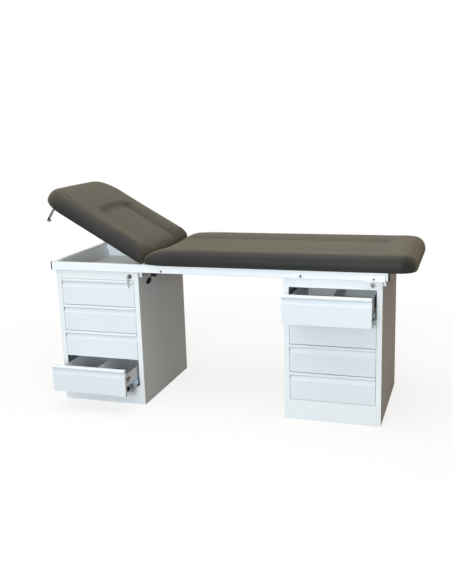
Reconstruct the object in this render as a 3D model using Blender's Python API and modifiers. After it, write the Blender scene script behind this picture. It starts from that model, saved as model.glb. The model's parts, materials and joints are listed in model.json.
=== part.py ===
"""Examination couch: two drawer cabinets, a tube frame, a seat pad and a tilting headrest.

Units are metres. Before the last step, X runs from the head to the foot of the couch and is 0 at the
left cabinet's outer side, Y is 0 at the cabinets' front plane and grows to the back, and Z is 0 on
the floor. The last step moves the origin to the floor under the middle of the couch.
"""
import math

import bmesh
import bpy
from mathutils import Vector

# Running and seating clearances
SEAT_GAP = 0.0003
RUN_GAP = 0.0004

# Cabinets, in folded steel sheet
CABINET_WIDTH = 0.440
CABINET_DEPTH = 0.575
CABINET_HEIGHT = 0.671
CABINET_SPACING = 0.710
SHEET = 0.0015
TRAY_DEPTH = 0.036
FASCIA_HEIGHT = 0.042
UPRIGHT_WIDTH = 0.0245
UPRIGHT_DEPTH = 0.022
CABINET_EDGE = 0.0008

# Drawers
DRAWER_COUNT = 4
DRAWER_PITCH = 0.133
FRONT_GAP = 0.003
FRONT_THICKNESS = 0.015
PULL_LIP_HEIGHT = 0.0155
PULL_LIP_REACH = 0.005
PULL_GROOVE_HEIGHT = 0.026
PULL_GROOVE_DEPTH = 0.008
BOX_SHEET = 0.0012
BOX_LENGTH = 0.500
BOX_HEIGHT = 0.086
BOX_RISE = 0.011
SLIDE_SPACE = 0.0125
SLIDE_BAR_HEIGHT = 0.028
SLIDE_BAR_THICKNESS = 0.0085
SLIDE_BAR_RISE = 0.013
LEFT_DRAWERS_OUT = (0.0, 0.0, 0.0, 0.158)
RIGHT_DRAWERS_OUT = (0.152, 0.0, 0.0, 0.0)

# Locks in the header fascias
LOCK_INSET = 0.042
LOCK_DROP = 0.021
LOCK_BEZEL_RADIUS = 0.0105
LOCK_BEZEL_THICKNESS = 0.004
LOCK_BARREL_RADIUS = 0.008
LOCK_BARREL_LENGTH = 0.020
LOCK_PLUG_RADIUS = 0.006
LOCK_CAM_LENGTH = 0.018
LOCK_CAM_THICKNESS = 0.002
KEY_THICKNESS = 0.002
KEY_BLADE_HEIGHT = 0.007
KEY_BLADE_LENGTH = 0.012
KEY_NECK = 0.005
KEY_BOW_RADIUS = 0.011
KEY_HOLE_RADIUS = 0.0045

# Frame tubes
RAIL_HEIGHT = 0.040
RAIL_WIDTH = 0.020
RAIL_WALL = 0.0015
RAIL_EDGE = 0.002
RAIL_PROUD = 0.012
HEAD_OVERHANG = 0.0165
FOOT_OVERHANG = 0.0235
CAP_FLANGE = 0.005
CAP_PLUG = 0.020
SEAT_CROSS_INSET = 0.082
SEAT_CROSS_HEIGHT = 0.020
BRACKET_HEIGHT = 0.028
BRACKET_WIDTH = 0.012
BRACKET_LENGTH = 0.036
BRACKET_SETBACK = 0.020
BRACKET_SHEET = 0.002
PLATE_END_INSET = 0.0095
PLATE_LENGTH = 0.098
PLATE_HEIGHT = 0.028
PLATE_DEPTH = 0.018
PLATE_SHEET = 0.002
PLATE_EDGE = 0.001

# Upholstery: the hinge stands off the left cabinet, and the pads overhang the rails
HINGE_OFFSET = 0.034
HINGE_RISE = 0.018
PAD_HEAD_OVERHANG = 0.1195
PAD_FOOT_OVERHANG = 0.1205
PAD_SIDE_OVERHANG = 0.0145
HEADREST_TILT = math.radians(30)
HEADREST_TILT_MOST = math.radians(45)
PAD_THICKNESS = 0.070
PAD_SIDE_ROUND = 0.040
PAD_END_ROUND = 0.050
HEADREST_HINGE_ROUND = 0.062
SEAT_HINGE_ROUND = 0.085
PAD_UNDERCUT = 0.008
HEAD_CORNER = 0.140
FOOT_CORNER = 0.080
PAD_HINGE_CORNER = 0.010
PAD_END_CLEARANCE = 0.0024
CHANNEL_DEPTH = 0.014
CHANNEL_SLOPE = 0.036
BOLSTER_WIDTH = 0.085
BOLSTER_FALL = 0.090
PILLOW_LENGTH = 0.280
PILLOW_RISE = 0.006
FOOT_ROLL_LENGTH = 0.170
FOOT_ROLL_RISE = 0.002
BOARD_THICKNESS = 0.015
BOARD_INSET = 0.020
BOARD_HINGE_GAP = 0.006

# Continuous hinge between the two boards
HINGE_LENGTH = 0.500
HINGE_KNUCKLES = 5
HINGE_BARREL_RADIUS = 0.0042
HINGE_PIN_RADIUS = 0.0020
HINGE_BORE_RADIUS = 0.0024
HINGE_LEAF_WIDTH = 0.026
HINGE_LEAF_THICKNESS = 0.0018

# Gas spring and its crank
CRANK_RADIUS = 0.048
CRANK_THICKNESS = 0.004
CRANK_EYE_RADIUS = 0.008
CRANK_BASE_LENGTH = 0.060
CRANK_BASE_WIDTH = 0.040
CRANK_PIN_RADIUS = 0.003
ROD_RADIUS = 0.004
ROD_LENGTH = 0.130
ROD_EYE_RADIUS = 0.009
ROD_EYE_BORE = 0.0056
ROD_EYE_WIDTH = 0.008
CYLINDER_RADIUS = 0.010
CYLINDER_OFFSET = 0.052
CYLINDER_LENGTH = 0.130
CYLINDER_TONGUE = 0.018
TONGUE_WIDTH = 0.008
SPRING_BRACKET_SHEET = 0.003
SPRING_BRACKET_WIDTH = 0.020

# Release lever under the front rail
LEVER_OFFSET = 0.0745
LEVER_DROP = 0.011
LEVER_HUB_RADIUS = 0.006
LEVER_BRACKET_WIDTH = 0.025
LEVER_STANDOFF = 0.009
LEVER_COLLAR_RADIUS = 0.0045
LEVER_HUB_WIDTH = 0.005
LEVER_PIN_RADIUS = 0.0025
LEVER_ROD_RADIUS = 0.002
LEVER_REACH = 0.033
LEVER_ANGLE = math.radians(236)
LEVER_BRACKET_SHEET = 0.003
LEVER_BOLT_OFFSET = 0.0495
GRIP_LENGTH = 0.038
GRIP_THICKNESS = 0.021

# Paper-roll arms under the head end
ROLL_ARM_END_INSET = 0.081
ROLL_ARM_LENGTH = 0.094
ROLL_ARM_RADIUS = 0.006
ROLL_ARM_LEAN = math.radians(5)
ROLL_ARM_INSET = 0.058
ROLL_ARM_BEND = 0.012
ROLL_STUB_LENGTH = 0.024
ROLL_FOOT_RADIUS = 0.014
ROLL_FOOT_THICKNESS = 0.003

# Places worked out from the sizes above
OPENING_TOP = CABINET_HEIGHT - FASCIA_HEIGHT
OPENING_BOTTOM = OPENING_TOP - DRAWER_COUNT * DRAWER_PITCH
TRAY_FLOOR = CABINET_HEIGHT - TRAY_DEPTH
RIGHT_CABINET_X = CABINET_WIDTH + CABINET_SPACING
RAIL_START_X = -HEAD_OVERHANG
RAIL_END_X = RIGHT_CABINET_X + CABINET_WIDTH + FOOT_OVERHANG
RAIL_BOTTOM = CABINET_HEIGHT + SEAT_GAP
RAIL_TOP = RAIL_BOTTOM + RAIL_HEIGHT
FRAME_MIDDLE_Y = (CABINET_DEPTH - RAIL_PROUD) / 2
SEAT_CROSS_X = RIGHT_CABINET_X + SEAT_CROSS_INSET
PLATE_START_X = RAIL_END_X - PLATE_END_INSET - PLATE_LENGTH
HINGE_X = CABINET_WIDTH + HINGE_OFFSET
HINGE_Z = RAIL_TOP + HINGE_RISE
HEADREST_REACH = HINGE_X + HEAD_OVERHANG + PAD_HEAD_OVERHANG
SEAT_REACH = RAIL_END_X - HINGE_X + PAD_FOOT_OVERHANG
PAD_WIDTH = CABINET_DEPTH + RAIL_PROUD + 2 * PAD_SIDE_OVERHANG
PAD_FLOOR = SEAT_GAP - HINGE_RISE
BOARD_TOP = PAD_FLOOR + BOARD_THICKNESS
CRANK_MIDDLE = HEADREST_TILT_MOST / 2
SPRING_DROP = CRANK_RADIUS * (1 + math.cos(CRANK_MIDDLE)) / 2
LEVER_X = CABINET_WIDTH + LEVER_OFFSET
LEVER_BRACKET_BOLT_X = LEVER_X + LEVER_BOLT_OFFSET
ROLL_ARM_REACH = HEADREST_REACH - ROLL_ARM_END_INSET
ROUND_SIDES = 24

for old in list(bpy.data.objects):
    bpy.data.objects.remove(old, do_unlink=True)

parts = bpy.data.collections.new("examination_couch")
tools = bpy.data.collections.new("cutters")
bpy.context.scene.collection.children.link(parts)
bpy.context.scene.collection.children.link(tools)


def finish(name, color, roughness, metallic=0.0):
    """A plain Principled material."""
    material = bpy.data.materials.new(name)
    material.use_nodes = True
    shader = material.node_tree.nodes["Principled BSDF"]
    shader.inputs["Base Color"].default_value = (*color, 1.0)
    shader.inputs["Roughness"].default_value = roughness
    shader.inputs["Metallic"].default_value = metallic
    return material


WHITE_PAINT = finish("white_paint", (0.72, 0.76, 0.78), 0.35)
GREY_PAINT = finish("grey_paint", (0.45, 0.49, 0.53), 0.45)
ZINC = finish("zinc_steel", (0.45, 0.52, 0.60), 0.35, 1.0)
CHROME = finish("chrome", (0.70, 0.70, 0.70), 0.12, 1.0)
NICKEL = finish("nickel", (0.55, 0.53, 0.48), 0.28, 1.0)
BLACK_STEEL = finish("black_steel", (0.02, 0.02, 0.02), 0.45)
BLACK_PLASTIC = finish("black_plastic", (0.015, 0.017, 0.022), 0.40)
BLACK_VINYL = finish("black_vinyl", (0.035, 0.033, 0.032), 0.42)
PLYWOOD = finish("plywood", (0.42, 0.29, 0.17), 0.65)


def empty(name, place, parent=None, turn=0.0):
    """A joint or group origin, turned about Y."""
    anchor = bpy.data.objects.new(name, None)
    anchor.parent = parent
    anchor.location = place
    anchor.rotation_euler = (0.0, turn, 0.0)
    parts.objects.link(anchor)
    return anchor


def add(name, bm, parent, material, place=(0, 0, 0), smooth=0.0):
    """Turn a bmesh into a named object; smooth is the angle below which edges shade smooth."""
    bmesh.ops.recalc_face_normals(bm, faces=bm.faces)
    mesh = bpy.data.meshes.new(name)
    bm.to_mesh(mesh)
    bm.free()
    if smooth:
        mesh.shade_smooth()
        mesh.set_sharp_from_angle(angle=math.radians(smooth))
    mesh.materials.append(material)
    part = bpy.data.objects.new(name, mesh)
    part.parent = parent
    part.location = place
    parts.objects.link(part)
    return part


def block(name, low, high, parent, material):
    """A box between two corners, with its origin at its middle."""
    low, high = Vector(low), Vector(high)
    bm = bmesh.new()
    bmesh.ops.create_cube(bm, size=1.0)
    bmesh.ops.scale(bm, vec=high - low, verts=bm.verts)
    return add(name, bm, parent, material, (low + high) / 2)


def prism(name, outline, axis, start, end, parent, material, smooth=0.0):
    """A flat outline pushed along X, Y or Z; its points are the other two coordinates in order."""
    def point(a, b):
        return {"X": (start, a, b), "Y": (a, start, b), "Z": (a, b, start)}[axis]
    bm = bmesh.new()
    face = bm.faces.new([bm.verts.new(point(a, b)) for a, b in outline])
    pushed = bmesh.ops.extrude_face_region(bm, geom=[face])["geom"]
    push = Vector((axis == "X", axis == "Y", axis == "Z")) * (end - start)
    bmesh.ops.translate(bm, vec=push, verts=[v for v in pushed if isinstance(v, bmesh.types.BMVert)])
    return add(name, bm, parent, material, smooth=smooth)


def cylinder(name, radius, start, end, parent, material, sides=ROUND_SIDES):
    """A round bar between two points, with its origin at its middle."""
    start, end = Vector(start), Vector(end)
    bm = bmesh.new()
    bmesh.ops.create_cone(bm, cap_ends=True, segments=sides, radius1=radius, radius2=radius,
                          depth=(end - start).length)
    turn = (end - start).to_track_quat("Z", "Y").to_matrix()
    bmesh.ops.rotate(bm, cent=(0, 0, 0), matrix=turn, verts=bm.verts)
    return add(name, bm, parent, material, (start + end) / 2, smooth=40)


def boolean(part, other, operation):
    """Cut or join a part with another shape, which then becomes a hidden tool."""
    parts.objects.unlink(other)
    tools.objects.link(other)
    other.hide_render = True
    other.display_type = "WIRE"
    step = part.modifiers.new(other.name, "BOOLEAN")
    step.operation = operation
    step.object = other
    return part


def cut(part, *others):
    for other in others:
        boolean(part, other, "DIFFERENCE")
    return part


def join(part, *others):
    for other in others:
        boolean(part, other, "UNION")
    return part


def round_edges(part, width, segments=2):
    """Bevel every sharp edge; called before a part is cut."""
    step = part.modifiers.new("edges", "BEVEL")
    step.width = width
    step.segments = segments
    step.limit_method = "ANGLE"
    step.angle_limit = math.radians(50)
    return part


def arc(center, radius, start, end, steps):
    """Points on an arc in a plane, from a start to an end angle in degrees."""
    turns = [math.radians(start + (end - start) * i / steps) for i in range(steps + 1)]
    return [(center[0] + radius * math.cos(t), center[1] + radius * math.sin(t)) for t in turns]


couch = empty("couch", (0, 0, 0))


# Cabinets: shell, runner panels, brackets to the rails
def cabinet_shell(side, cabinet):
    """Outer box, hollowed for the drawers and, above the top panel, for the tray."""
    width, depth = CABINET_WIDTH, CABINET_DEPTH
    past = UPRIGHT_DEPTH + SHEET
    under = TRAY_FLOOR - SHEET
    shell = block(f"{side}_cabinet_shell", (0, 0, 0), (width, depth, CABINET_HEIGHT), cabinet, WHITE_PAINT)
    round_edges(shell, CABINET_EDGE)

    def hollow(name, low, high):
        cut(shell, block(f"{side}_{name}", low, high, cabinet, WHITE_PAINT))
    hollow("cavity", (SHEET, UPRIGHT_DEPTH, SHEET), (width - SHEET, depth - SHEET, under))
    hollow("opening", (UPRIGHT_WIDTH, -SHEET, OPENING_BOTTOM), (width - UPRIGHT_WIDTH, past, OPENING_TOP))
    hollow("left_upright", (SHEET, SHEET, SHEET), (UPRIGHT_WIDTH - SHEET, past, under))
    hollow("right_upright", (width - UPRIGHT_WIDTH + SHEET, SHEET, SHEET), (width - SHEET, past, under))
    hollow("plinth", (UPRIGHT_WIDTH - 2 * SHEET, SHEET, SHEET),
           (width - UPRIGHT_WIDTH + 2 * SHEET, past, OPENING_BOTTOM - SHEET))
    hollow("tray", (SHEET, SHEET, TRAY_FLOOR), (width - SHEET, depth - SHEET, CABINET_HEIGHT + SHEET))
    lock_x, lock_z = CABINET_WIDTH - LOCK_INSET, CABINET_HEIGHT - LOCK_DROP
    cut(shell, cylinder(f"{side}_lock_hole", LOCK_BARREL_RADIUS + SEAT_GAP, (lock_x, -SHEET, lock_z),
                        (lock_x, 2 * SHEET, lock_z), cabinet, WHITE_PAINT))


def drawer_bottom(row):
    """Height of a drawer front's lower edge; row 0 is the top drawer."""
    return OPENING_TOP - (row + 1) * DRAWER_PITCH + FRONT_GAP / 2


def runner_panel(side, hand, cabinet):
    """A web beside the drawers with one C channel for each slide bar."""
    web_out, web_in = UPRIGHT_WIDTH - SHEET, UPRIGHT_WIDTH
    flange = UPRIGHT_WIDTH + SLIDE_SPACE - 2 * RUN_GAP
    outline = [(web_out, OPENING_BOTTOM), (web_in, OPENING_BOTTOM)]
    for row in reversed(range(DRAWER_COUNT)):
        bar_low = drawer_bottom(row) + SLIDE_BAR_RISE - RUN_GAP
        bar_high = drawer_bottom(row) + SLIDE_BAR_RISE + SLIDE_BAR_HEIGHT + RUN_GAP
        for low in (bar_low - SHEET, bar_high):
            outline += [(web_in, low), (flange, low), (flange, low + SHEET), (web_in, low + SHEET)]
    outline += [(web_in, OPENING_TOP), (web_out, OPENING_TOP)]
    if hand == "right":
        outline = [(CABINET_WIDTH - x, z) for x, z in outline]
    prism(f"{side}_cabinet_{hand}_runners", outline, "Y", UPRIGHT_DEPTH + SEAT_GAP,
          CABINET_DEPTH - SHEET - SEAT_GAP, cabinet, ZINC)


def rail_bracket(side, place, way, edge_y, cabinet):
    """Angle on the cabinet's right side, with a flange across its end and a foot under the rail."""
    inner, outer = CABINET_WIDTH + SEAT_GAP, CABINET_WIDTH + SEAT_GAP + BRACKET_WIDTH
    low, top = CABINET_HEIGHT - BRACKET_HEIGHT, CABINET_HEIGHT
    name = f"{side}_cabinet_{place}_bracket"

    def plate(label, near, far, right, bottom):
        ends = sorted((edge_y + way * near, edge_y + way * far))
        return block(label, (inner, ends[0], bottom), (right, ends[1], top), cabinet, WHITE_PAINT)
    back = BRACKET_SETBACK + BRACKET_LENGTH
    foot = plate(name, -BRACKET_SHEET, back, outer, top - BRACKET_SHEET)
    join(foot, plate(f"{name}_flange", BRACKET_SETBACK, BRACKET_SETBACK + BRACKET_SHEET, outer, low),
         plate(f"{name}_leg", BRACKET_SETBACK, back, inner + BRACKET_SHEET, low))


# Drawers: a front with a rolled pull, and a divided box with a slide bar on each side
def groove(inset):
    """Side view of the hollow under a pull's lip, set back by a sheet's thickness or none."""
    panel_top = DRAWER_PITCH - FRONT_GAP - PULL_LIP_HEIGHT - PULL_GROOVE_HEIGHT
    steps = 8
    points = []
    for step in range(steps + 1):
        share = step / steps
        inward = inset + PULL_GROOVE_DEPTH * (1 - math.cos(math.pi * share)) / 2
        points.append((inward, panel_top + PULL_GROOVE_HEIGHT * share))
    return points


def pull_outline():
    """Side view of a drawer front: flat panel, hollow under the lip, rounded lip."""
    height = DRAWER_PITCH - FRONT_GAP
    lip_low = height - PULL_LIP_HEIGHT
    outline = [(FRONT_THICKNESS, 0), (0, 0)] + groove(0.0)
    steps = 10
    for step in range(steps + 1):
        turn = math.pi * step / steps
        outline.append((-PULL_LIP_REACH * math.sin(turn),
                        lip_low + PULL_LIP_HEIGHT * (1 - math.cos(turn)) / 2))
    outline.append((FRONT_THICKNESS, height))
    return outline


def inside_outline():
    """Side view of the space inside a drawer front, which is open at its bottom."""
    back, top = FRONT_THICKNESS - BOX_SHEET, DRAWER_PITCH - FRONT_GAP - BOX_SHEET
    lip_low = DRAWER_PITCH - FRONT_GAP - PULL_LIP_HEIGHT + BOX_SHEET
    deepest = PULL_GROOVE_DEPTH + BOX_SHEET
    return ([(back, -BOX_SHEET), (BOX_SHEET, -BOX_SHEET)] + groove(BOX_SHEET)
            + [(deepest, lip_low), (BOX_SHEET, lip_low), (BOX_SHEET, top), (back, top)])


def drawer(side, row, out, cabinet):
    name = f"{side}_drawer_{row + 1}"
    slide = empty(f"{name}_slide", (0, -out, drawer_bottom(row)), cabinet)
    front_start = UPRIGHT_WIDTH + FRONT_GAP / 2
    front_end = CABINET_WIDTH - front_start
    front = prism(f"{name}_front", pull_outline(), "X", front_start, front_end, slide, WHITE_PAINT, smooth=35)
    cut(front, prism(f"{name}_inside", inside_outline(), "X", front_start + BOX_SHEET, front_end - BOX_SHEET,
                     slide, WHITE_PAINT))

    box_start, box_end = UPRIGHT_WIDTH + SLIDE_SPACE, CABINET_WIDTH - UPRIGHT_WIDTH - SLIDE_SPACE
    near, far = FRONT_THICKNESS + SEAT_GAP, FRONT_THICKNESS + SEAT_GAP + BOX_LENGTH
    floor, rim = BOX_RISE + BOX_SHEET, BOX_RISE + BOX_HEIGHT
    middle = CABINET_WIDTH / 2
    box = block(f"{name}_box", (box_start, near, BOX_RISE), (box_end, far, rim), slide, GREY_PAINT)
    for hand, start, end in (("left", box_start + BOX_SHEET, middle - BOX_SHEET / 2),
                             ("right", middle + BOX_SHEET / 2, box_end - BOX_SHEET)):
        cut(box, block(f"{name}_{hand}_space", (start, near + BOX_SHEET, floor),
                       (end, far - BOX_SHEET, rim + BOX_SHEET), slide, GREY_PAINT))
    bar_low, bar_high = SLIDE_BAR_RISE, SLIDE_BAR_RISE + SLIDE_BAR_HEIGHT
    grip = BOX_SHEET / 2
    join(box, block(f"{name}_left_bar", (box_start - SLIDE_BAR_THICKNESS, near + UPRIGHT_DEPTH, bar_low),
                    (box_start + grip, far, bar_high), slide, ZINC))
    join(box, block(f"{name}_right_bar", (box_end - grip, near + UPRIGHT_DEPTH, bar_low),
                    (box_end + SLIDE_BAR_THICKNESS, far, bar_high), slide, ZINC))


# Locks: a fixed barrel in the fascia and a plug that turns in it with its cam
def lock(side, cabinet):
    center = Vector((CABINET_WIDTH - LOCK_INSET, 0, CABINET_HEIGHT - LOCK_DROP))
    bore = LOCK_PLUG_RADIUS + SEAT_GAP
    front, back = -SEAT_GAP - LOCK_BEZEL_THICKNESS, LOCK_BARREL_LENGTH
    turn = empty(f"{side}_lock_turn", center, cabinet)

    def ring(name, radius, start, end, parent, origin):
        low, high = origin + Vector((0, start, 0)), origin + Vector((0, end, 0))
        return cylinder(f"{side}_lock_{name}", radius, low, high, parent, NICKEL)
    barrel = ring("barrel", LOCK_BEZEL_RADIUS, front, -SEAT_GAP, cabinet, center)
    round_edges(barrel, LOCK_BEZEL_THICKNESS / 4)
    join(barrel, ring("barrel_body", LOCK_BARREL_RADIUS, front / 2, back, cabinet, center))
    cut(barrel, ring("barrel_bore", bore, 2 * front, back - front, cabinet, center))

    middle = Vector((0, 0, 0))
    plug = ring("plug", LOCK_PLUG_RADIUS, front, back + LOCK_CAM_THICKNESS + SEAT_GAP, turn, middle)
    cam_start = back + SEAT_GAP
    join(plug, block(f"{side}_lock_cam", (-LOCK_CAM_LENGTH, cam_start, -LOCK_PLUG_RADIUS),
                     (0, cam_start + LOCK_CAM_THICKNESS, LOCK_PLUG_RADIUS), turn, NICKEL))
    slot = KEY_THICKNESS / 2 + SEAT_GAP
    slot_high = KEY_BLADE_HEIGHT / 2 + SEAT_GAP
    cut(plug, block(f"{side}_lock_keyway", (-slot, 2 * front, -slot_high),
                    (slot, front + KEY_BLADE_LENGTH + SEAT_GAP, slot_high), turn, NICKEL))
    return turn, front


def key(name, turn, lock_front):
    """A flat key: its blade in the keyway and its bow, with a ring hole, in front of the lock."""
    half = KEY_THICKNESS / 2
    bow_y = lock_front - KEY_NECK - KEY_BOW_RADIUS
    neck = math.degrees(math.asin(KEY_BLADE_HEIGHT / 2 / KEY_BOW_RADIUS))
    outline = arc((bow_y, 0), KEY_BOW_RADIUS, neck, 360 - neck, ROUND_SIDES)
    blade_end = lock_front + KEY_BLADE_LENGTH
    outline += [(blade_end, -KEY_BLADE_HEIGHT / 2), (blade_end, KEY_BLADE_HEIGHT / 2)]
    body = prism(name, outline, "X", -half, half, turn, NICKEL)
    cut(body, cylinder(f"{name}_hole", KEY_HOLE_RADIUS, (-2 * half, bow_y - KEY_BOW_RADIUS / 3, 0),
                       (2 * half, bow_y - KEY_BOW_RADIUS / 3, 0), turn, NICKEL))


for side, cabinet_x, drawers_out in (("left", 0.0, LEFT_DRAWERS_OUT),
                                     ("right", RIGHT_CABINET_X, RIGHT_DRAWERS_OUT)):
    cabinet = empty(f"{side}_cabinet", (cabinet_x, 0, 0), couch)
    cabinet_shell(side, cabinet)
    runner_panel(side, "left", cabinet)
    runner_panel(side, "right", cabinet)
    rail_bracket(side, "front", 1, 0.0, cabinet)
    rail_bracket(side, "rear", -1, CABINET_DEPTH, cabinet)
    for row, out in enumerate(drawers_out):
        drawer(side, row, out, cabinet)
    plug_turn, lock_front = lock(side, cabinet)
    if side == "left":
        key("left_key", plug_turn, lock_front)


# Frame: two long rails on the cabinets, cross rails between them, caps in the rails' ends
def tube(name, low, high, axis):
    """A rectangular tube, open at both ends along its axis."""
    low, high = Vector(low), Vector(high)
    along = Vector((axis == "X", axis == "Y", axis == "Z"))
    inset = (Vector((1, 1, 1)) - along) * RAIL_WALL - along * RAIL_WALL
    outer = round_edges(block(name, low, high, couch, WHITE_PAINT), RAIL_EDGE)
    return cut(outer, block(f"{name}_bore", low + inset, high - inset, couch, WHITE_PAINT))


def end_cap(name, end_x, outward, start_y):
    """A flange over the tube's end and a plug in its bore."""
    face = end_x + outward * SEAT_GAP
    cap = block(name, (min(face, face + outward * CAP_FLANGE), start_y, RAIL_BOTTOM),
                (max(face, face + outward * CAP_FLANGE), start_y + RAIL_WIDTH, RAIL_TOP), couch,
                BLACK_PLASTIC)
    round_edges(cap, RAIL_EDGE)
    inset = RAIL_WALL + SEAT_GAP
    plug_start, plug_end = face + outward * CAP_FLANGE / 2, end_x - outward * CAP_PLUG
    join(cap, block(f"{name}_plug", (min(plug_start, plug_end), start_y + inset, RAIL_BOTTOM + inset),
                    (max(plug_start, plug_end), start_y + RAIL_WIDTH - inset, RAIL_TOP - inset),
                    couch, BLACK_PLASTIC))


rail_rows = {"front_rail": -RAIL_PROUD, "rear_rail": CABINET_DEPTH - RAIL_WIDTH}
for rail, start_y in rail_rows.items():
    tube(rail, (RAIL_START_X, start_y, RAIL_BOTTOM), (RAIL_END_X, start_y + RAIL_WIDTH, RAIL_TOP), "X")
    end_cap(f"{rail}_head_cap", RAIL_START_X, -1, start_y)
    end_cap(f"{rail}_foot_cap", RAIL_END_X, 1, start_y)

between_start = rail_rows["front_rail"] + RAIL_WIDTH + SEAT_GAP
between_end = rail_rows["rear_rail"] - SEAT_GAP
for cross, start_x, height in (("head_cross_rail", RAIL_START_X, RAIL_HEIGHT),
                               ("seat_cross_rail", SEAT_CROSS_X - RAIL_WIDTH / 2, SEAT_CROSS_HEIGHT),
                               ("foot_cross_rail", RAIL_END_X - RAIL_WIDTH, RAIL_HEIGHT)):
    tube(cross, (start_x, between_start, RAIL_BOTTOM),
         (start_x + RAIL_WIDTH, between_end, RAIL_BOTTOM + height), "Y")

plate_back = rail_rows["front_rail"] - SEAT_GAP
plate_end_x, plate_top = PLATE_START_X + PLATE_LENGTH, RAIL_BOTTOM + PLATE_HEIGHT
plate = block("accessory_plate", (PLATE_START_X, plate_back - PLATE_DEPTH, RAIL_BOTTOM),
              (plate_end_x, plate_back, plate_top), couch, WHITE_PAINT)
round_edges(plate, PLATE_EDGE)
hollow_low = (PLATE_START_X + PLATE_SHEET, plate_back - PLATE_DEPTH + PLATE_SHEET, RAIL_BOTTOM + PLATE_SHEET)
hollow_high = (plate_end_x - PLATE_SHEET, plate_back + SEAT_GAP, plate_top - PLATE_SHEET)
cut(plate, block("accessory_plate_hollow", hollow_low, hollow_high, couch, WHITE_PAINT))


# Upholstered top: the boards and pads, in frames whose origin is the hinge axis
hinge_place = (HINGE_X, FRAME_MIDDLE_Y, HINGE_Z)
seat = empty("seat", hinge_place, couch)
headrest = empty("headrest_tilt", hinge_place, couch, HEADREST_TILT)


def corner_arcs(near, far, half_width, near_corner, far_corner):
    """The four corners of a plan outline, in order round it from the front corner at x near."""
    way = 1 if far > near else -1
    corners = ((near + way * near_corner, -half_width + near_corner, near_corner, 180, 270, 3),
               (far - way * far_corner, -half_width + far_corner, far_corner, 270, 360, 6),
               (far - way * far_corner, half_width - far_corner, far_corner, 0, 90, 6),
               (near + way * near_corner, half_width - near_corner, near_corner, 90, 180, 3))
    return [[(x + way * a, y + b) for a, b in arc((0, 0), radius, start, end, steps)]
            for x, y, radius, start, end, steps in corners]


def straight(start, end, steps):
    """Points strictly between two ends of a straight side."""
    shares = [step / steps for step in range(1, steps)]
    return [(start[0] + (end[0] - start[0]) * t, start[1] + (end[1] - start[1]) * t) for t in shares]


def smooth_step(share):
    share = min(1.0, max(0.0, share))
    return share * share * (3 - 2 * share)


def hinge_end(hinge_round):
    """How far a pad ends from the hinge axis, so that the pads just clear at the most tilt.

    Each pad's end is half an ellipse that stays on its own side of the plane between the pads.
    """
    half = HEADREST_TILT_MOST / 2
    slope = (PAD_THICKNESS - HINGE_RISE) * math.tan(half)
    return math.hypot(hinge_round, slope) - hinge_round + PAD_END_CLEARANCE / math.cos(half)


def pad_rings(end_length, hinge_round):
    """Rings of a pad from its underside to the middle of its top.

    Each ring has a height above the pad's floor, its distance inside the pad's widest outline at the
    sides, at the hinge end and at the far end, and how much of the channel's depth it takes.
    """
    rings = []
    under_steps, round_steps = 3, 6
    crown = PAD_THICKNESS - SEAT_GAP
    for step in range(under_steps):
        turn = math.pi / 2 * (1 - step / under_steps)
        inset = PAD_UNDERCUT * (1 - math.cos(turn))
        rings.append((HINGE_RISE * (1 - math.sin(turn)), inset, inset, inset, 0.0))
    for step in range(round_steps + 1):
        turn = math.pi / 2 * step / round_steps
        draw = 1 - math.cos(turn)
        rings.append((HINGE_RISE + (crown - HINGE_RISE) * math.sin(turn), PAD_SIDE_ROUND * draw,
                      hinge_round * draw, PAD_END_ROUND * draw, math.sin(turn)))
    floor_in = BOLSTER_WIDTH + BOLSTER_FALL
    slope = CHANNEL_SLOPE / 4
    rings.append((crown, (PAD_SIDE_ROUND + BOLSTER_WIDTH) / 2, hinge_round + slope, end_length / 2, 1.0))
    rings.append((crown, BOLSTER_WIDTH, hinge_round + 2 * slope, end_length - CHANNEL_SLOPE, 1.0))
    rings.append((crown, BOLSTER_WIDTH + BOLSTER_FALL / 2, hinge_round + 3 * slope,
                  end_length - CHANNEL_SLOPE / 2, 1.0))
    rings.append((crown, floor_in, hinge_round + 4 * slope, end_length, 1.0))
    rings.append((crown, floor_in + CHANNEL_SLOPE, hinge_round + 8 * slope, end_length + CHANNEL_SLOPE, 1.0))
    return rings


def pad_loop(near, far, side_in, far_corner):
    """One ring's plan points: corners, sides in steps, and points on the channel's edges."""
    half_width = PAD_WIDTH / 2 - side_in
    hinge_corner = max(PAD_HINGE_CORNER - side_in, CHANNEL_SLOPE / 4)
    arcs = corner_arcs(near, far, half_width, hinge_corner, max(far_corner - side_in, CHANNEL_SLOPE))
    edge = min(PAD_WIDTH / 2 - BOLSTER_WIDTH, half_width - hinge_corner - CHANNEL_SLOPE / 9)
    floor = min(PAD_WIDTH / 2 - BOLSTER_WIDTH - BOLSTER_FALL, edge - CHANNEL_SLOPE / 9)
    middle = (edge + floor) / 2
    hinge_side = [(near, y) for y in (edge, middle, floor, floor / 3, -floor / 3, -floor, -middle, -edge)]
    long_steps, end_steps = 8, 6
    return (arcs[0] + straight(arcs[0][-1], arcs[1][0], long_steps)
            + arcs[1] + straight(arcs[1][-1], arcs[2][0], end_steps)
            + arcs[2] + straight(arcs[2][-1], arcs[3][0], long_steps) + arcs[3] + hinge_side)


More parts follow.
